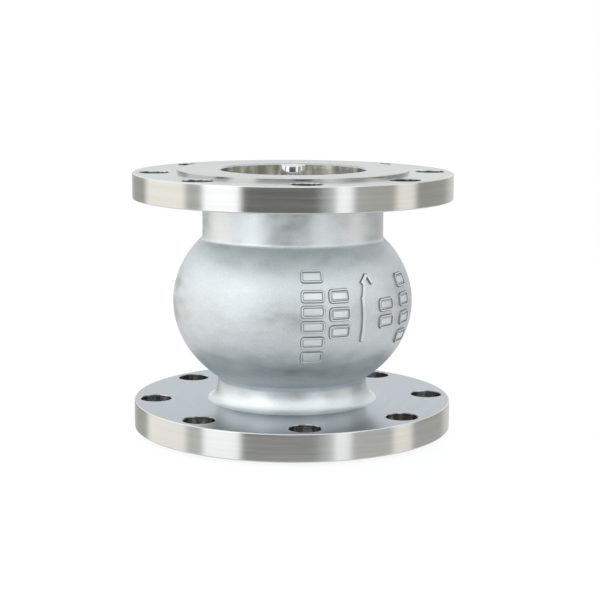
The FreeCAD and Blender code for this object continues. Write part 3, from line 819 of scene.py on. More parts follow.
@dataclass(frozen=True)
class BoredSkin:
    """Bored and drilled steel: shiny, with upright drag marks over fine cuts."""

    name: str = "bored_skin"
    dark: Colour = (0.36, 0.355, 0.29)
    light: Colour = (0.93, 0.92, 0.84)
    roughness: Pair = (0.26, 0.42)
    mark_per_m: float = 120.0
    stretch: float = 0.45
    mark_depth: float = 0.00012
    mark_strength: float = 0.5
    colour_range: Pair = (0.42, 0.64)
    pitch: float = 0.0004
    drift: float = 20.0
    depth: float = 0.00001
    strength: float = 0.4

    def material(self) -> Material:
        """Make the finish.

        Returns:
            Its material.
        """
        n = Nodes(self.name)
        marks = n.noise(n.scaled(1.0, 1.0, self.stretch), self.mark_per_m, detail=3.0)
        cuts = n.noise(n.lathe(self.pitch, self.drift), 1.0)
        colour = n.ramp(marks, list(zip(self.colour_range, (self.dark, self.light))))
        n.set(Base_Color=colour, Roughness=n.ranged(cuts, *self.roughness), Metallic=1.0)
        n.bump((marks, self.mark_strength, self.mark_depth), (cuts, self.strength, self.depth))
        return n.material


def made(skin: CastSkin | TurnedSkin | PlainMetal | SoftSeal | BoredSkin) -> Material:
    """A field that holds a finish's material, which is made with the other finishes."""
    return field(default_factory=skin.material)


@dataclass
class Finishes:
    """The valve's materials, each made once."""

    cast: Material = made(CastSkin())
    neck: Material = made(CastSkin("neck_skin", (0.62, 0.645, 0.65), (0.80, 0.825, 0.83), (0.34, 0.50)))
    # mark_skin's third colour is a painted shade on the marks' sloping sides
    marks: Material = made(CastSkin(
        "mark_skin", (0.68, 0.70, 0.70), (0.84, 0.86, 0.86), slope_shade=(0.30, 0.315, 0.32)))
    turned: Material = made(TurnedSkin())
    # faced_shaded_skin is turned steel painted dark: a painted shade on the lower flange's back, under the
    # globe
    faced_shaded: Material = made(TurnedSkin(
        "faced_shaded_skin", (0.30, 0.33, 0.35), (0.37, 0.40, 0.42), (0.17, 0.24), 0.3, 0.0006, 0.000003))
    flat: Material = made(TurnedSkin(
        "flat_skin", (0.46, 0.455, 0.435), (0.53, 0.525, 0.505), (0.15, 0.22), 0.6))
    bored: Material = made(BoredSkin())
    drilled: Material = made(BoredSkin(
        "drilled_skin", (0.26, 0.26, 0.25), (0.74, 0.74, 0.72), (0.14, 0.3), 300.0, 0.15))
    polished: Material = made(PlainMetal(
        "ground_shaft", (0.66, 0.66, 0.65), (0.74, 0.74, 0.73), (0.03, 0.06), depth=0.000001))
    plate: Material = made(PlainMetal("plain_turned", (0.52, 0.51, 0.48), (0.64, 0.63, 0.60), (0.22, 0.34)))
    wire: Material = made(PlainMetal("drawn_wire", (0.42, 0.41, 0.39), (0.58, 0.57, 0.54), (0.18, 0.30)))
    bronze: Material = made(PlainMetal("bush_bronze", (0.55, 0.36, 0.16), (0.72, 0.50, 0.25), (0.22, 0.36)))
    white: Material = made(SoftSeal("soft_white", (0.70, 0.69, 0.66), (0.80, 0.79, 0.76)))
    rubber: Material = made(SoftSeal("black_rubber", (0.018, 0.018, 0.018), (0.035, 0.034, 0.033)))


def hand_over(piece: Object, materials: list[Material], body: Body, slot: Slot, *nodes: str) -> None:
    """Dress a piece, put it on its body and hide the CAD nodes that it stands for.

    Args:
        piece: The finished piece.
        materials: Its materials, one for each material number.
        body: The body that it rides on.
        slot: The record's material slot; not used.
        nodes: CAD nodes that it replaces.
    """
    if piece.data.materials:
        piece.data.materials.clear()
    for material in materials:
        piece.data.materials.append(material)
    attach(piece, body.value)
    if nodes:
        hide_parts(*nodes)
    LOG.info("%s on %s, %d faces", piece.name, body.value, len(piece.data.polygons))


# The casting


@dataclass
class Casting:
    """The one-piece body: two drilled flanges, two necks, the globe and everything machined inside.

    A crease is the level at which a neck would meet the globe without its fillet. The globe's wall starts and
    ends a little inside the creases, and the necks' smoother skin reaches past them by the lip. A groove is
    its radius with its lower and upper level, and the inlet's levels count from the foot.
    """

    flange_radius: float = radius_of("valve_body")
    foot: float = foot_of("valve_body")
    top: float = top_of("valve_body")
    face_radius: float = 67.0
    face_step: float = 1.8
    face_edge: float = 0.25
    inlet_thick: float = 16.0
    outlet_thick: float = 14.7
    rim_edge: float = 0.7
    bolt_circle: float = 80.0
    hole_radius: float = 9.0
    hole_edge: float = 0.4
    hole_count: int = 8
    first_hole: float = 5.0
    globe: Ellipsoid = GLOBE
    inlet_neck: float = 43.6
    inlet_flare: float = 6.0
    inlet_flare_rise: float = 11.0
    inlet_crease: float = 31.3
    inlet_crease_fillet: float = 4.0
    inlet_globe_start: float = 3.0
    outlet_neck: float = 52.4
    outlet_fillet: float = 4.0
    outlet_crease: float = 112.814
    outlet_crease_fillet: float = 3.5
    outlet_globe_end: float = 2.0
    lip: float = 0.8
    hollow: Ellipsoid = Ellipsoid(GLOBE.level, 63.1, 50.2)
    hollow_floor: float = 44.0
    hollow_floor_fillet: float = 2.5
    hollow_wall_start: float = 3.0
    inlet_bore: float = 40.0
    inlet_bore_depth: float = 17.0
    inlet_groove: Triple = (41.75, 6.35, 9.0)
    throat: float = 36.5
    pocket: float = 40.05
    pocket_floor: float = 36.0
    shoulder_bore: float = 40.2
    shoulder: float = 119.99
    bore_edge: float = 0.3
    outlet_bore: float = 42.5
    outlet_groove: Triple = (44.25, 129.99, 133.14)
    mouth: float = 1.0
    mouth_edge: float = 0.2
    around_steps: int = 360
    sector_steps: int = 12
    ring_steps: int = 3
    globe_steps: int = 96
    hollow_steps: int = 40
    flare_steps: int = 12
    sharp: float = 35.0

    def angles(self) -> np.ndarray:
        """Angles of the steps round the body, started halfway between two bolt holes."""
        first = self.first_hole - 180 / self.hole_count
        return np.radians(first + np.arange(self.around_steps) * 360 / self.around_steps)

    def raised_face(self, bore: float, level: float, way: int) -> np.ndarray:
        """The profile of a raised face, from its edge to the bevel at the bore's mouth.

        Args:
            bore: The bore's radius.
            level: The face's height.
            way: 1 if it faces up, -1 if it faces down.

        Returns:
            Rows of radius and level.
        """
        line = Profile().to(self.face_radius, level - way * self.face_step)
        line.to(self.face_radius, level, self.face_edge).to(bore + self.mouth, level, self.mouth_edge)
        return line.to(bore, level - way * self.mouth).points()

    def outlet_side(self) -> np.ndarray:
        """The profile from the outlet's mouth down to the top of the cast hollow.

        Returns:
            Rows of radius and level.
        """
        groove, low, high = self.outlet_groove
        line = Profile().to(self.outlet_bore, self.top - self.mouth)
        line.to(self.outlet_bore, high).to(groove, high).to(groove, low).to(self.outlet_bore, low)
        line.to(self.outlet_bore, self.shoulder).to(self.shoulder_bore, self.shoulder, self.bore_edge)
        return line.to(self.shoulder_bore, self.hollow.level_at(self.shoulder_bore)).points()

    def cavity(self) -> np.ndarray:
        """The profile of the cast hollow inside the globe, from its top to the seat's pocket.

        Returns:
            Rows of radius and level.
        """
        top, floor = self.hollow.level_at(self.shoulder_bore), self.hollow_floor
        wall = self.hollow.wall(top, floor + self.hollow_wall_start, self.hollow_steps)
        line = Profile().along(wall).to(self.hollow.radius_at(floor), floor, self.hollow_floor_fillet)
        return line.to(self.pocket, floor).points()

    def inlet_side(self) -> np.ndarray:
        """The profile from the seat's pocket down through the throat and the inlet bore to its mouth.

        Returns:
            Rows of radius and level.
        """
        foot, edge = self.foot, self.bore_edge
        groove, low, high = self.inlet_groove
        line = Profile().to(self.pocket, self.hollow_floor).to(self.pocket, self.pocket_floor)
        line.to(self.throat, self.pocket_floor, edge).to(self.throat, foot + self.inlet_bore_depth, edge)
        line.to(self.inlet_bore, foot + self.inlet_bore_depth)
        line.to(self.inlet_bore, foot + high).to(groove, foot + high).to(groove, foot + low)
        return line.to(self.inlet_bore, foot + low).to(self.inlet_bore, foot + self.mouth).points()

    def rim(self, low: float, high: float) -> np.ndarray:
        """The profile of a flange's turned edge.

        Args:
            low: Its lower level.
            high: Its upper level.

        Returns:
            Rows of radius and level.
        """
        inner = self.flange_radius - self.rim_edge
        line = Profile().to(inner, low).to(self.flange_radius, low, self.rim_edge)
        return line.to(self.flange_radius, high, self.rim_edge).to(inner, high).points(steps=5)

    def waist(self, low: float, high: float) -> np.ndarray:
        """The cast profile between the flanges: neck, globe and neck, with their fillets.

        The lower neck flares out as a quarter of an ellipse: its radius grows by the flare times one less the
        cosine of a turn, and its level falls to the flange by the rise times one less the turn's sine.

        Args:
            low: The level of the lower flange's back.
            high: The level of the upper flange's back.

        Returns:
            Rows of radius and level.
        """
        start, end = self.inlet_crease + self.inlet_globe_start, self.outlet_crease - self.outlet_globe_end
        turn = np.linspace(math.pi / 2, 0, self.flare_steps + 1)
        flare_radius = self.inlet_neck + self.inlet_flare * (1 - np.cos(turn))
        flare_level = low + self.inlet_flare_rise * (1 - np.sin(turn))
        line = Profile().along(np.stack([flare_radius, flare_level], axis=-1))
        line.to(self.inlet_neck, self.inlet_crease, self.inlet_crease_fillet)
        line.along(self.globe.wall(start, end, self.globe_steps))
        line.to(self.outlet_neck, self.outlet_crease, self.outlet_crease_fillet)
        line.to(self.outlet_neck, high, self.outlet_fillet)
        return line.to(self.outlet_neck + self.outlet_fillet, high).points(steps=8)

    def sector_edge(self, inner: float, outer: float) -> np.ndarray:
        """The edge of one sector about the X axis.

        Args:
            inner: Inner radius.
            outer: Outer radius.

        Returns:
            A loop of two coordinates: the inner arc, a radial line, the outer arc and the other radial line.
        """
        steps, half = self.around_steps // self.hole_count, math.pi / self.hole_count
        turn = np.linspace(-half, half, steps + 1)
        out = np.linspace(inner, outer, self.sector_steps + 1)
        side = np.full(self.sector_steps, half)
        radius = np.concatenate([np.full(steps, inner), out[:-1], np.full(steps, outer), out[:0:-1]])
        angle = np.concatenate([turn[:-1], side, turn[:0:-1], -side])
        return np.stack([radius * np.cos(angle), radius * np.sin(angle)], axis=-1)

    def hole_loop(self, inner: float, outer: float, radius: float) -> np.ndarray:
        """Points of a hole's circle, one towards each point of its sector's edge.

        Args:
            inner: The sector's inner radius.
            outer: Its outer radius.
            radius: The hole's radius.

        Returns:
            A loop of two coordinates.
        """
        middle = np.array([self.bolt_circle, 0.0])
        away = self.sector_edge(inner, outer) - middle
        return middle + radius * away / np.linalg.norm(away, axis=1)[:, None]

    def each_sector(self, patch: np.ndarray, levels: np.ndarray, zone: Zone) -> Surface:
        """Copy one sector's closed patch to every bolt hole.

        Args:
            patch: Rows, columns and two coordinates, about the X axis.
            levels: The height of each point.
            zone: The zone that it belongs to.

        Returns:
            All the sectors as one surface.
        """
        parts = []
        x, y = patch[..., 0], patch[..., 1]
        for k in range(self.hole_count):
            a = math.radians(self.first_hole + k * 360 / self.hole_count)
            across, ahead = x * math.cos(a) - y * math.sin(a), x * math.sin(a) + y * math.cos(a)
            points = np.stack([across, ahead, levels], axis=-1)
            parts.append(Surface.grid(points, close_columns=True, slot=zone))
        return Surface.joined(parts)

    def drilled_ring(self, face: Triple, zone: Zone) -> Surface:
        """A flat ring with a bolt hole in each sector, whose circle is blended straight to the sector's edge.

        Args:
            face: Its inner radius, outer radius and level.
            zone: The zone that it belongs to.

        Returns:
            The ring's surface.
        """
        inner, outer, level = face
        edge = self.sector_edge(inner, outer)
        hole = self.hole_loop(inner, outer, self.hole_radius + self.hole_edge)
        blend = np.linspace(0, 1, self.ring_steps + 1)[:, None, None]
        patch = (1 - blend) * hole + blend * edge
        return self.each_sector(patch, np.full(patch.shape[:2], level), zone)

    def hole_walls(self, lower: Triple, upper: Triple) -> Surface:
        """The drilled walls between two faces, with their broken edges.

        Args:
            lower: The lower face's inner radius, outer radius and level.
            upper: The same of the upper face.

        Returns:
            The walls of every hole.
        """
        edge = self.hole_edge
        rows, levels = [], []
        for (inner, outer, level), way in ((lower, 1), (upper, -1)):
            wide = self.hole_loop(inner, outer, self.hole_radius + edge)
            narrow = self.hole_loop(inner, outer, self.hole_radius)
            rows += [wide, narrow][::way]
            levels += [level, level + way * edge][::way]
        patch = np.stack(rows)
        heights = np.repeat(np.array(levels)[:, None], patch.shape[1], axis=1)
        return self.each_sector(patch, heights, Zone.DRILLED)

    def build(self) -> Object:
        """Build the casting as one closed mesh.

        Returns:
            The casting, with a material number for each zone.
        """
        outer = self.flange_radius - self.rim_edge
        low_face, high_face = self.foot + self.face_step, self.top - self.face_step
        low_back, high_back = low_face + self.inlet_thick, high_face - self.outlet_thick
        front_low, front_high = (self.face_radius, outer, low_face), (self.face_radius, outer, high_face)
        back_low = (self.inlet_neck + self.inlet_flare, outer, low_back)
        back_high = (self.outlet_neck + self.outlet_fillet, outer, high_back)
        waist = self.waist(low_back, high_back)
        start = int(np.searchsorted(waist[:, 1], self.inlet_crease + self.lip))
        end = int(np.searchsorted(waist[:, 1], self.outlet_crease - self.lip))
        lines = [
            (self.raised_face(self.outlet_bore, self.top, 1), Zone.FLAT),
            (self.outlet_side(), Zone.BORED),
            (self.cavity(), Zone.CAST),
            (self.inlet_side(), Zone.BORED),
            (self.raised_face(self.inlet_bore, self.foot, -1), Zone.FLAT),
            (self.rim(low_face, low_back), Zone.TURNED),
            (self.rim(high_back, high_face), Zone.TURNED),
            (waist[:start + 1], Zone.NECK),
            (waist[start:end + 1], Zone.CAST),
            (waist[end:], Zone.NECK),
        ]
        rings = [
            (front_low, Zone.FLAT),
            (back_low, Zone.FACED_SHADED),
            (back_high, Zone.CAST),
            (front_high, Zone.FLAT),
        ]
        angles = self.angles()
        parts = [Surface.grid(around(line, angles), close_columns=True, slot=zone) for line, zone in lines]
        parts += [self.drilled_ring(face, zone) for face, zone in rings]
        parts += [self.hole_walls(front_low, back_low), self.hole_walls(back_high, front_high)]
        return make_object("valve_casting", Surface.joined(parts), self.sharp)

    def dress(self, finishes: Finishes) -> None:
        """Build the casting and give each zone its finish."""
        skins = [getattr(finishes, zone.name.lower()) for zone in Zone]
        hand_over(self.build(), skins, Body.CASING, Slot.CAST, "valve_body")


@dataclass
class CastMarks:
    """Blank raised tiles in the places of a foundry's marks, and a plain arrow that shows the flow.

    A tile is a ridge round a sunk field with a boss. The dish is the field's depth as a share of the height,
    the boss its rise as a share of the dish, and both start a number of slopes in from the edge. Every pad is
    let in a little, its edge is sunk into the globe, and its back lies deeper by its thickness. A column of
    tiles is its azimuth, its levels, and a tile's width and height. A stroke of the arrow is its azimuth,
    level, width, length and turn: a slim shaft, bent a little near its upper end, and two short barbs there.
    """

    globe: Ellipsoid = GLOBE
    height: float = 1.2
    let_in: float = 0.12
    sunk: float = 0.5
    thick: float = 0.3
    slope: float = 0.75
    corner: float = 0.30
    dish: float = 0.85
    dish_start: float = 1.5
    boss: float = 0.8
    boss_start: float = 2.7
    steps: tuple[int, int] = (70, 60)
    sharp: float = 60.0
    columns: tuple[tuple[float, tuple[float, ...], float, float], ...] = (
        (9.3, (98.3, 88.0, 79.8, 71.4, 62.6, 54.0), 14.0, 7.3),
        (22.0, (87.8, 78.0, 68.2), 13.4, 8.2),
        (48.6, (80.6, 71.2), 13.0, 8.0),
        (64.8, (92.0, 81.2, 70.8, 60.2), 13.0, 8.4),
    )
    strokes: tuple[tuple[float, float, float, float, float], ...] = (
        (34.0, 74.0, 3.0, 26.0, 0.0),
        (35.3, 90.0, 3.0, 11.0, -17.0),
        (36.6, 95.4, 3.0, 7.5, -48.0),
        (39.8, 95.2, 2.6, 6.5, 24.0),
    )

    @staticmethod
    def smooth(value: np.ndarray) -> np.ndarray:
        """The smooth step: three times the square less twice the cube, of a value held between 0 and 1."""
        held = np.clip(value, 0, 1)
        return 3 * held**2 - 2 * held**3

    def on_globe(self, azimuth: np.ndarray, level: np.ndarray, lift: np.ndarray) -> np.ndarray:
        """Points on the globe, lifted off it.

        The point is on the globe's profile at its level, turned by its azimuth from the front, and moved
        along the globe's outward normal.

        Args:
            azimuth: Angle from the front towards the right, in radians.
            level: Height.
            lift: Distance off the globe.

        Returns:
            The points' three coordinates.
        """
        radius = self.globe.radius_at(level)
        out, up = radius / self.globe.radius**2, (level - self.globe.level) / self.globe.rise**2
        size = np.sqrt(out**2 + up**2)
        radius, level = radius + lift * out / size, level + lift * up / size
        return np.stack([radius * np.sin(azimuth), -radius * np.cos(azimuth), level], axis=-1)

    def pad(self, azimuth: float, level: float, wide: float, tall: float, turn: float = 0.0,
            dish: float = 0.0) -> Surface:
        """A raised pad with sloping sides, which can be dished.

        Its height is the smooth step of the distance from its edge over the slope, less the dish further in,
        and up again for the boss in its middle.

        Args:
            azimuth: Its middle, in degrees from the front.
            level: Its middle's height.
            wide: Its width round the globe.
            tall: Its height along the globe.
            turn: Its turn about its middle, in degrees.
            dish: How deep it is dished, as a share of the height.

        Returns:
            The closed pad.
        """
        u = np.linspace(-1, 1, self.steps[0] + 1)[:, None] * (wide / 2)
        v = np.linspace(-1, 1, self.steps[1] + 1)[None] * (tall / 2)
        corner = min(wide, tall) * self.corner
        beside, above = wide / 2 - np.abs(u) + 0 * v, tall / 2 - np.abs(v) + 0 * u
        inside = corner - np.hypot(np.maximum(corner - beside, 0), np.maximum(corner - above, 0))
        edge = np.minimum(np.minimum(beside, above), inside)
        slopes = edge / self.slope
        boss = self.boss * self.smooth(slopes - self.boss_start)
        sink = dish * (self.smooth(slopes - self.dish_start) - boss)
        lift = np.where(edge < 0, -self.sunk, self.height * (self.smooth(slopes) - sink) - self.let_in)
        a = math.radians(turn)
        x, y = u * math.cos(a) - v * math.sin(a), u * math.sin(a) + v * math.cos(a)
        round_by = math.radians(azimuth) + x / self.globe.radius
        upper = self.on_globe(round_by, level + y, lift)
        lower = self.on_globe(round_by, level + y, np.full_like(lift, -self.sunk - self.thick))
        loops = [np.concatenate([side[:, 0], side[-1, 1:], side[-2::-1, -1], side[0, -2:0:-1]])
                 for side in (upper, lower)]
        skirt = Surface.grid(np.stack(loops), close_columns=True)
        return Surface.joined([Surface.grid(upper), Surface.grid(lower), skirt])

    def dress(self, finishes: Finishes) -> None:
        """Build the tiles and the arrow in their skin.

        Args:
            finishes: The valve's materials.
        """
        tiles = [self.pad(azimuth, level, wide, tall, dish=self.dish)
                 for azimuth, levels, wide, tall in self.columns for level in levels]
        arrow = [self.pad(*stroke) for stroke in self.strokes]
        for name, pads in (("cast_tiles", tiles), ("flow_arrow", arrow)):
            piece = make_object(name, Surface.joined(pads), self.sharp)
            hand_over(piece, [finishes.marks], Body.CASING, Slot.CAST)


# The guides


@dataclass
class Guide:
    """A cast guide: a bored hub, arms and a rim in one piece.

    The collar's rows are radius, level and fillet. The rim is given by two opposite corners of its section,
    and the arm's rows are a distance from the axis with the arm's lower and upper level there. The seam is
    the height above the foot at which the hub's profile closes in the bore.
    """

    node: str
    foot: float
    top: float
    foot_edge: float
    seam: float
    rim: tuple[Pair, Pair]
    arm: list[Triple]
    arm_count: int
    collar: list[Triple] = field(default_factory=list)
    bore: float = 10.02
    barrel: float = 15.0
    bevel: float = 1.0
    edge: float = 0.3
    rim_edge: float = 0.4
    arm_width: float = 6.0
    arm_edge: float = 0.25
    sharp: float = 35.0

    def hub(self) -> Surface:
        """The hub, with its collar if it has one.

        Returns:
            Its turned surface.
        """
        line = Profile().to(self.bore, self.foot).to(self.barrel, self.foot, self.foot_edge)
        for corner in self.collar:
            line.to(*corner)
        line.to(self.barrel, self.top - self.bevel, self.edge)
        line.to(self.barrel - self.bevel, self.top, self.edge)
        line.to(self.bore, self.top, self.edge).to(self.bore, self.foot + self.seam)
        return turned(line.points(steps=4), count=128)

    def arms(self) -> list[Surface]:
        """The arms: at each step out from the hub, a rounded rectangle between the lower and upper line.

        Returns:
            One closed surface for each arm.
        """
        radius, low, high = (np.array(x, float)[:, None] for x in zip(*self.arm))
        section = rounded_box((-1, -1), (1, 1), self.arm_edge)
        across = self.arm_width / 2 * section[:, 0]
        level = (low + high) / 2 + (high - low) / 2 * section[:, 1]
        arms = []
        for k in range(self.arm_count):
            a = 2 * math.pi * k / self.arm_count
            x, y = radius * math.cos(a) - across * math.sin(a), radius * math.sin(a) + across * math.cos(a)
            arms.append(Surface.tube(np.stack([x, y, level], axis=-1)))
        return arms

    def dress(self, finishes: Finishes) -> None:
        """Build the guide in a plain turned finish.

        Args:
            finishes: The valve's materials.
        """
        parts = [self.hub(), turned(rounded_box(*self.rim, self.rim_edge)), *self.arms()]
        piece = make_object(f"{self.node}_casting", Surface.joined(parts), self.sharp)
        hand_over(piece, [finishes.plate], Body.CASING, Slot.TURNED, self.node)


def upper_guide(shoulder: float) -> Guide:
    """The guide on the outlet's shoulder, with its long hub that stops the lift.

    Args:
        shoulder: The shoulder's level.

    Returns:
        The guide.
    """
    foot, top = foot_of("upper_guide"), top_of("upper_guide")
    flange, barrel, wide = shoulder - 4, 15, 22
    collar = [(barrel, flange, 0.8), (wide, flange, 0.5), (wide, shoulder, 0.5), (barrel, shoulder + 4, 2.0)]
    arm = [(14.0, flange + 0.5, top - 2), (wide, flange + 0.5, 133.8), (30.0, 118.2, 132.0),
           (38.6, 120.5, 129.5)]
    rim = ((38.1, shoulder), (42.45, shoulder + 10))
    return Guide("upper_guide", foot, top, foot_edge=0.3, seam=20, rim=rim, arm=arm, arm_count=4,
                 collar=collar)


def lower_guide() -> Guide:
    """The guide under the inlet's shoulder.

    Returns:
        The guide.
    """
    foot, top = 10.0, 30.0
    arm = [(14.0, foot + 0.5, top - 2), (22.0, foot + 0.2, 24.8), (30, 9.8, 20.6), (36.4, 9.5, 16.5)]
    rim = ((35.9, 9.0), (39.95, 17.0))
    return Guide("lower_guide", foot, top, foot_edge=0.8, seam=8, rim=rim, arm=arm, arm_count=3)


# The disc and what carries it


@dataclass
class Stem:
    """The turned shaft: foot, collar, thread and ground guide, with a centre hole in its tip.

    The lead is what the tip's radius loses over the lead's length. The thread's rows are a share of the pitch
    with the depth there. The centre hole is given at its mouth, where its cone starts and at its point.
    """

    foot: float = foot_of("stem")
    top: float = top_of("stem")
    radius: float = 7.5
    foot_edge: float = 1.0
    collar_radius: float = 12.0
    collar: Pair = (46.5, 52.5)
    collar_edge: float = 0.4
    thread_radius: float = 9.0
    thread_start: float = 67.0
    thread_top: float = 76.75
    thread_runout: float = 0.5
    thread_bevel: float = 0.6
    pitch: float = 1.5
    thread_rows: tuple[Pair, ...] = ((0.0, 0.0), (0.12, 0.0), (0.45, 0.85), (0.55, 0.85), (0.88, 0.0))
    lead_length: float = 7.0
    lead: float = 0.52
    tip_edge: float = 0.5
    tip_fillet: float = 0.2
    hole_radius: float = 2.0
    hole_edge: float = 0.1
    cone_radius: float = 1.2
    cone_depth: float = 2.2
    hole_depth: float = 3.0

    def thread(self) -> np.ndarray:
        """A thread's profile: flat crests and roots with flanks between, repeated at the pitch.

        Returns:
            Rows of radius and level.
        """
        share, depth = np.array(self.thread_rows).T
        turns = int((self.thread_top - self.thread_runout - self.thread_start) / self.pitch)
        level = self.thread_start + (np.arange(turns)[:, None] + share) * self.pitch
        return np.stack([np.tile(self.thread_radius - depth, turns), level.ravel()], axis=-1)

    def build(self) -> Object:
        """Build the shaft as one profile, from the foot's middle to the tip's centre hole.

        Returns:
            The shaft.
        """
        low, high = self.collar
        line = Profile().to(0, self.foot).to(self.radius, self.foot, self.foot_edge).to(self.radius, low)
        line.to(self.collar_radius, low, self.collar_edge).to(self.collar_radius, high, self.collar_edge)
        line.to(self.thread_radius, high).to(self.thread_radius, self.thread_start).along(self.thread())
        line.to(self.thread_radius - self.thread_bevel, self.thread_top).to(self.radius, self.thread_top)
        tip = self.radius - self.lead
        line.to(self.radius, self.top - self.lead_length).to(tip, self.top - self.tip_edge, self.tip_fillet)
        line.to(tip - self.tip_edge, self.top, self.tip_fillet).to(self.hole_radius, self.top, self.hole_edge)
        line.to(self.cone_radius, self.top - self.cone_depth).to(0, self.top - self.hole_depth)
        return make_object("stem_shaft", turned(line.points(steps=4), count=160, closed=False))

    def dress(self, finishes: Finishes) -> None:
        """Build the shaft with its ground finish."""
        hand_over(self.build(), [finishes.polished], Body.DISC, Slot.POLISHED, "stem")


@dataclass
class Spring:
    """The closing spring: an open coil with a closed and ground turn at each end.

    The creep is the climb in the closed turns as a share of that in the open ones, and the change is the
    number of turns from one to the other. Ground is how far the wire's middle stays inside each end, as a
    share of the wire's radius.
    """

    mean_radius: float = 18.5
    wire_radius: float = 1.5
    foot: float = foot_of("spring")
    top: float = top_of("spring")
    turns: float = 9.0
    closed_turns: float = 1.0
    change: float = 0.5
    creep: float = 0.16
    ground: float = 0.35
    travel: float = 18.0
    steps: int = 96
    section: int = 16
    sharp: float = 50.0

    def build(self) -> Object:
        """Build the coil.

        The wire's middle runs round the axis and climbs with the turns, hardly at all in the closed end turns
        and at the pitch between them. Each section is a circle, cut flat where it would pass the ground ends.

        Returns:
            The coil.
        """
        turn = np.linspace(0, self.turns, int(self.turns * self.steps) + 1)
        end_turn = np.minimum(turn, self.turns - turn)
        speed = np.interp(end_turn, [self.closed_turns, self.closed_turns + self.change], [self.creep, 1])
        climb = np.concatenate([[0], np.cumsum((speed[1:] + speed[:-1]) / 2)])
        low, high = self.foot + self.ground * self.wire_radius, self.top - self.ground * self.wire_radius
        level = low + (high - low) * climb / climb[-1]
        angle = 2 * math.pi * turn[:, None]
        wire = circle(self.wire_radius, self.section)
        radius = self.mean_radius + wire[:, 0]
        height = np.clip(level[:, None] + wire[:, 1], self.foot, self.top)
        points = np.stack([radius * np.cos(angle), radius * np.sin(angle), height], axis=-1)
        return make_object("closing_spring", Surface.tube(points), self.sharp)

    def dress(self, finishes: Finishes) -> None:
        """Build the coil, give it its wire and its own copy of its mesh.

        Args:
            finishes: The valve's materials.
        """
        piece = self.build()
        hand_over(piece, [finishes.wire], Body.CASING, Slot.SPRING, "spring")
        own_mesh(piece)


@dataclass
class CarriedNodes:
    """The CAD nodes whose shape is right: a smooth copy of each, with its finish."""

    finishes: Finishes

    def dress(self) -> None:
        """Copy, dress and hand over each node."""
        f = self.finishes
        rows = [
            ("seat_gasket", f.rubber, Body.CASING, Slot.RUBBER),
            ("seat_ring", f.plate, Body.CASING, Slot.TURNED),
            ("upper_bush", f.bronze, Body.CASING, Slot.BRONZE),
            ("lower_bush", f.bronze, Body.CASING, Slot.BRONZE),
            ("upper_circlip", f.wire, Body.CASING, Slot.SPRING),
            ("lower_circlip", f.wire, Body.CASING, Slot.SPRING),
            ("disc", f.plate, Body.DISC, Slot.TURNED),
            ("disc_seal", f.white, Body.DISC, Slot.SOFT),
            ("seal_retainer", f.plate, Body.DISC, Slot.TURNED),
            ("retainer_screws", f.wire, Body.DISC, Slot.POLISHED),
            ("stem_o_ring", f.rubber, Body.DISC, Slot.RUBBER),
            ("disc_nut", f.plate, Body.DISC, Slot.POLISHED),
            ("tab_washer", f.wire, Body.DISC, Slot.POLISHED),
            ("spring_seat", f.plate, Body.DISC, Slot.TURNED),
        ]
        for node, material, body, slot in rows:
            hand_over(smooth_copy(f"{node}_fine", node), [material], body, slot, node)


# The studio


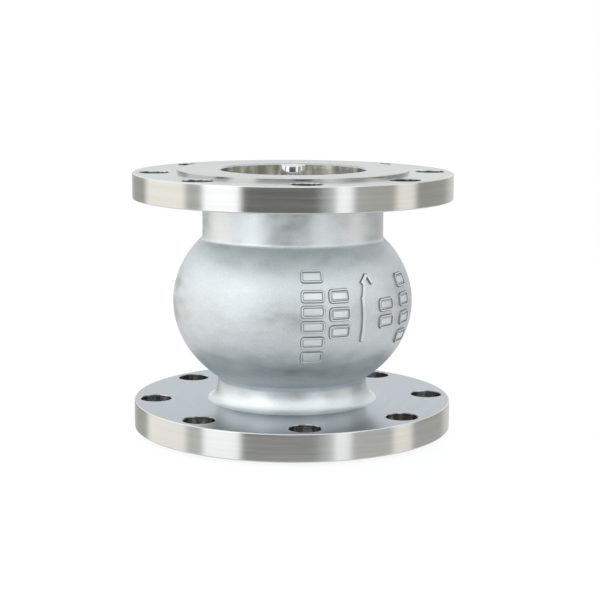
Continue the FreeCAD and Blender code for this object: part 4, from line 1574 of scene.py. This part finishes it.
@dataclass(frozen=True)
class Studio:
    """A pale floor, a room of soft light and the camera.

    A band is its azimuth from the front in degrees, its strength and, in the low row, its tint. The low row
    stands round the object near the floor, and the middle row stands above it. Each change is the sine of the
    height at which one part of the room starts to take over from another, and that at which it ends.
    """

    camera_place: tuple[float, float, float] = (-0.000686, -0.92073, 0.22626)
    yaw: float = -0.005505
    pitch: float = 0.162604
    roll: float = 0.0052105
    lens: float = 95.70
    sensor: float = 36.0
    nearest: float = 0.01
    floor_radius: float = 620.0
    floor_grey: Colour = (0.80, 0.80, 0.80)
    floor_roughness: float = 0.25
    floor_glow: float = 1.04
    floor_glow_share: float = 0.85
    table: Colour = (0.90, 0.93, 0.95)
    table_change: Pair = (-0.24, -0.34)
    middle_tint: Tint = Tint.COOL
    middle_change: Pair = (0.06, 0.12)
    ceiling: Colour = (1.10, 1.15, 1.18)
    ceiling_change: Pair = (0.50, 0.80)
    backdrop: Colour = (1.0, 1.0, 1.0)
    low_bands: tuple[tuple[float, float, Tint], ...] = (
        (-180, 0.68, Tint.PLAIN), (-150, 0.45, Tint.OLIVE), (-132, 0.48, Tint.OLIVE), (-123, 1.20, Tint.WARM),
        (-84, 1.25, Tint.WARM), (-78, 0.58, Tint.OLIVE), (-68, 0.60, Tint.COOL), (-64, 1.62, Tint.COOL),
        (-39, 1.62, Tint.COOL), (-34, 0.13, Tint.OLIVE), (15, 0.13, Tint.OLIVE), (28, 0.7, Tint.COOL),
        (32, 1.45, Tint.COOL), (40, 1.40, Tint.COOL), (45, 0.50, Tint.OLIVE), (74, 0.52, Tint.OLIVE),
        (80, 1.15, Tint.WARM), (93, 1.10, Tint.WARM), (99, 0.42, Tint.OLIVE), (134, 0.46, Tint.OLIVE),
        (150, 0.72, Tint.PLAIN), (180, 0.68, Tint.PLAIN))
    middle_bands: tuple[Pair, ...] = (
        (-180, 1.06), (-150, 1.06), (-130, 1.00), (-122, 1.50), (-84, 1.50), (-77, 1.25), (-68, 1.35),
        (-62, 2.00), (-40, 2.00), (-32, 1.40), (-15, 1.25), (12, 1.28), (28, 1.25), (36, 1.60), (48, 1.60),
        (58, 0.95), (70, 0.95), (82, 1.30), (97, 1.25), (106, 0.75), (134, 0.75), (150, 1.06), (180, 1.06))

    def add_camera(self) -> None:
        """Create the camera, level with the photograph's view, and make it the scene's."""
        data = bpy.data.cameras.new("camera")
        data.lens, data.sensor_width, data.clip_start = self.lens, self.sensor, self.nearest
        camera = bpy.data.objects.new("camera", data)
        bpy.context.scene.collection.objects.link(camera)
        level = np.array([-math.sin(self.yaw), math.cos(self.yaw), 0.0])
        side = np.array([math.cos(self.yaw), math.sin(self.yaw), 0.0])
        rise = np.array([0.0, 0.0, 1.0])
        ahead = level * math.cos(self.pitch) - rise * math.sin(self.pitch)
        up = level * math.sin(self.pitch) + rise * math.cos(self.pitch)
        across = side * math.cos(self.roll) + up * math.sin(self.roll)
        up = up * math.cos(self.roll) - side * math.sin(self.roll)
        matrix = np.eye(4)
        matrix[:3] = np.stack([across, up, -ahead, self.camera_place], axis=-1)
        camera.matrix_world = Matrix(matrix.tolist())
        bpy.context.scene.camera = camera

    def add_floor(self) -> None:
        """A round pale floor that the camera sees as nearly white, with the object's shadow kept faintly."""
        profile = np.array([[0.0, 0.0], [self.floor_radius, 0.0]])
        floor = make_object("floor", turned(profile, count=96, closed=False))
        if floor.data.polygons[0].normal.z < 0:
            floor.data.flip_normals()
        n = Nodes("floor_white")
        n.set(Base_Color=self.floor_grey, Roughness=self.floor_roughness)
        glow = n.new("ShaderNodeEmission")
        glow.inputs["Strength"].default_value = self.floor_glow
        seen = n.new("ShaderNodeLightPath").outputs["Is Camera Ray"]
        blend = n.new("ShaderNodeMixShader")
        shaders = (n.maths("MULTIPLY", seen, self.floor_glow_share), n.shader.outputs[0], glow.outputs[0])
        for source, target in zip(shaders, blend.inputs):
            n.link(source, target)
        n.link(blend.outputs[0], n.tree.nodes["Material Output"].inputs["Surface"])
        floor.data.materials.append(n.material)
        floor.visible_glossy = False

    @staticmethod
    def stops(bands: list[tuple[float, float, Tint]]) -> list[tuple[float, Colour]]:
        """The colour stops of a row of bands, placed from 0 at the back round by the left to 1.

        Args:
            bands: Azimuth, strength and tint of each.

        Returns:
            A place and a colour for each.
        """
        return [((azimuth + 180) / 360, tuple(strength * share for share in tint.value))
                for azimuth, strength, tint in bands]

    def add_room(self) -> None:
        """The world: soft bands of light round the object, brighter from above, and white behind it."""
        world = bpy.data.worlds.new("room")
        bpy.context.scene.world = world
        world.use_nodes = True
        world.node_tree.nodes.clear()
        room = Graph(world.node_tree)
        split = room.new("ShaderNodeSeparateXYZ")
        room.link(room.new("ShaderNodeTexCoord").outputs["Generated"], split.inputs[0])
        azimuth = room.maths("ARCTAN2", split.outputs["X"], room.maths("MULTIPLY", split.outputs["Y"], -1.0))
        share = room.ranged(azimuth, 0.0, 1.0, -math.pi, math.pi)
        middle_bands = [(*band, self.middle_tint) for band in self.middle_bands]
        colour, middle = (room.ramp(share, self.stops(bands)) for bands in (self.low_bands, middle_bands))
        for change, above in ((self.middle_change, middle), (self.ceiling_change, self.ceiling),
                              (self.table_change, self.table)):
            height = room.ranged(split.outputs["Z"], 0.0, 1.0, *change, "SMOOTHSTEP")
            colour = room.mixed(height, colour, above)
        seen = room.new("ShaderNodeLightPath").outputs["Is Camera Ray"]
        shine = room.new("ShaderNodeBackground")
        room.link(room.mixed(seen, colour, self.backdrop), shine.inputs["Color"])
        room.link(shine.outputs[0], room.new("ShaderNodeOutputWorld").inputs["Surface"])

    def build(self) -> None:
        """Set up the camera, the floor and the light."""
        self.add_camera()
        self.add_floor()
        self.add_room()
        bpy.context.scene.view_settings.view_transform = "Standard"


def main() -> None:
    """Build every piece in order."""
    logging.basicConfig(level=logging.INFO, format="%(name)s: %(message)s")
    Studio().build()
    finishes = Finishes()
    casting = Casting()
    casting.dress(finishes)
    CastMarks(casting.globe).dress(finishes)
    upper_guide(casting.shoulder).dress(finishes)
    lower_guide().dress(finishes)
    Stem().dress(finishes)
    Spring().dress(finishes)
    CarriedNodes(finishes).dress()


if __name__ == "__main__":
    main()
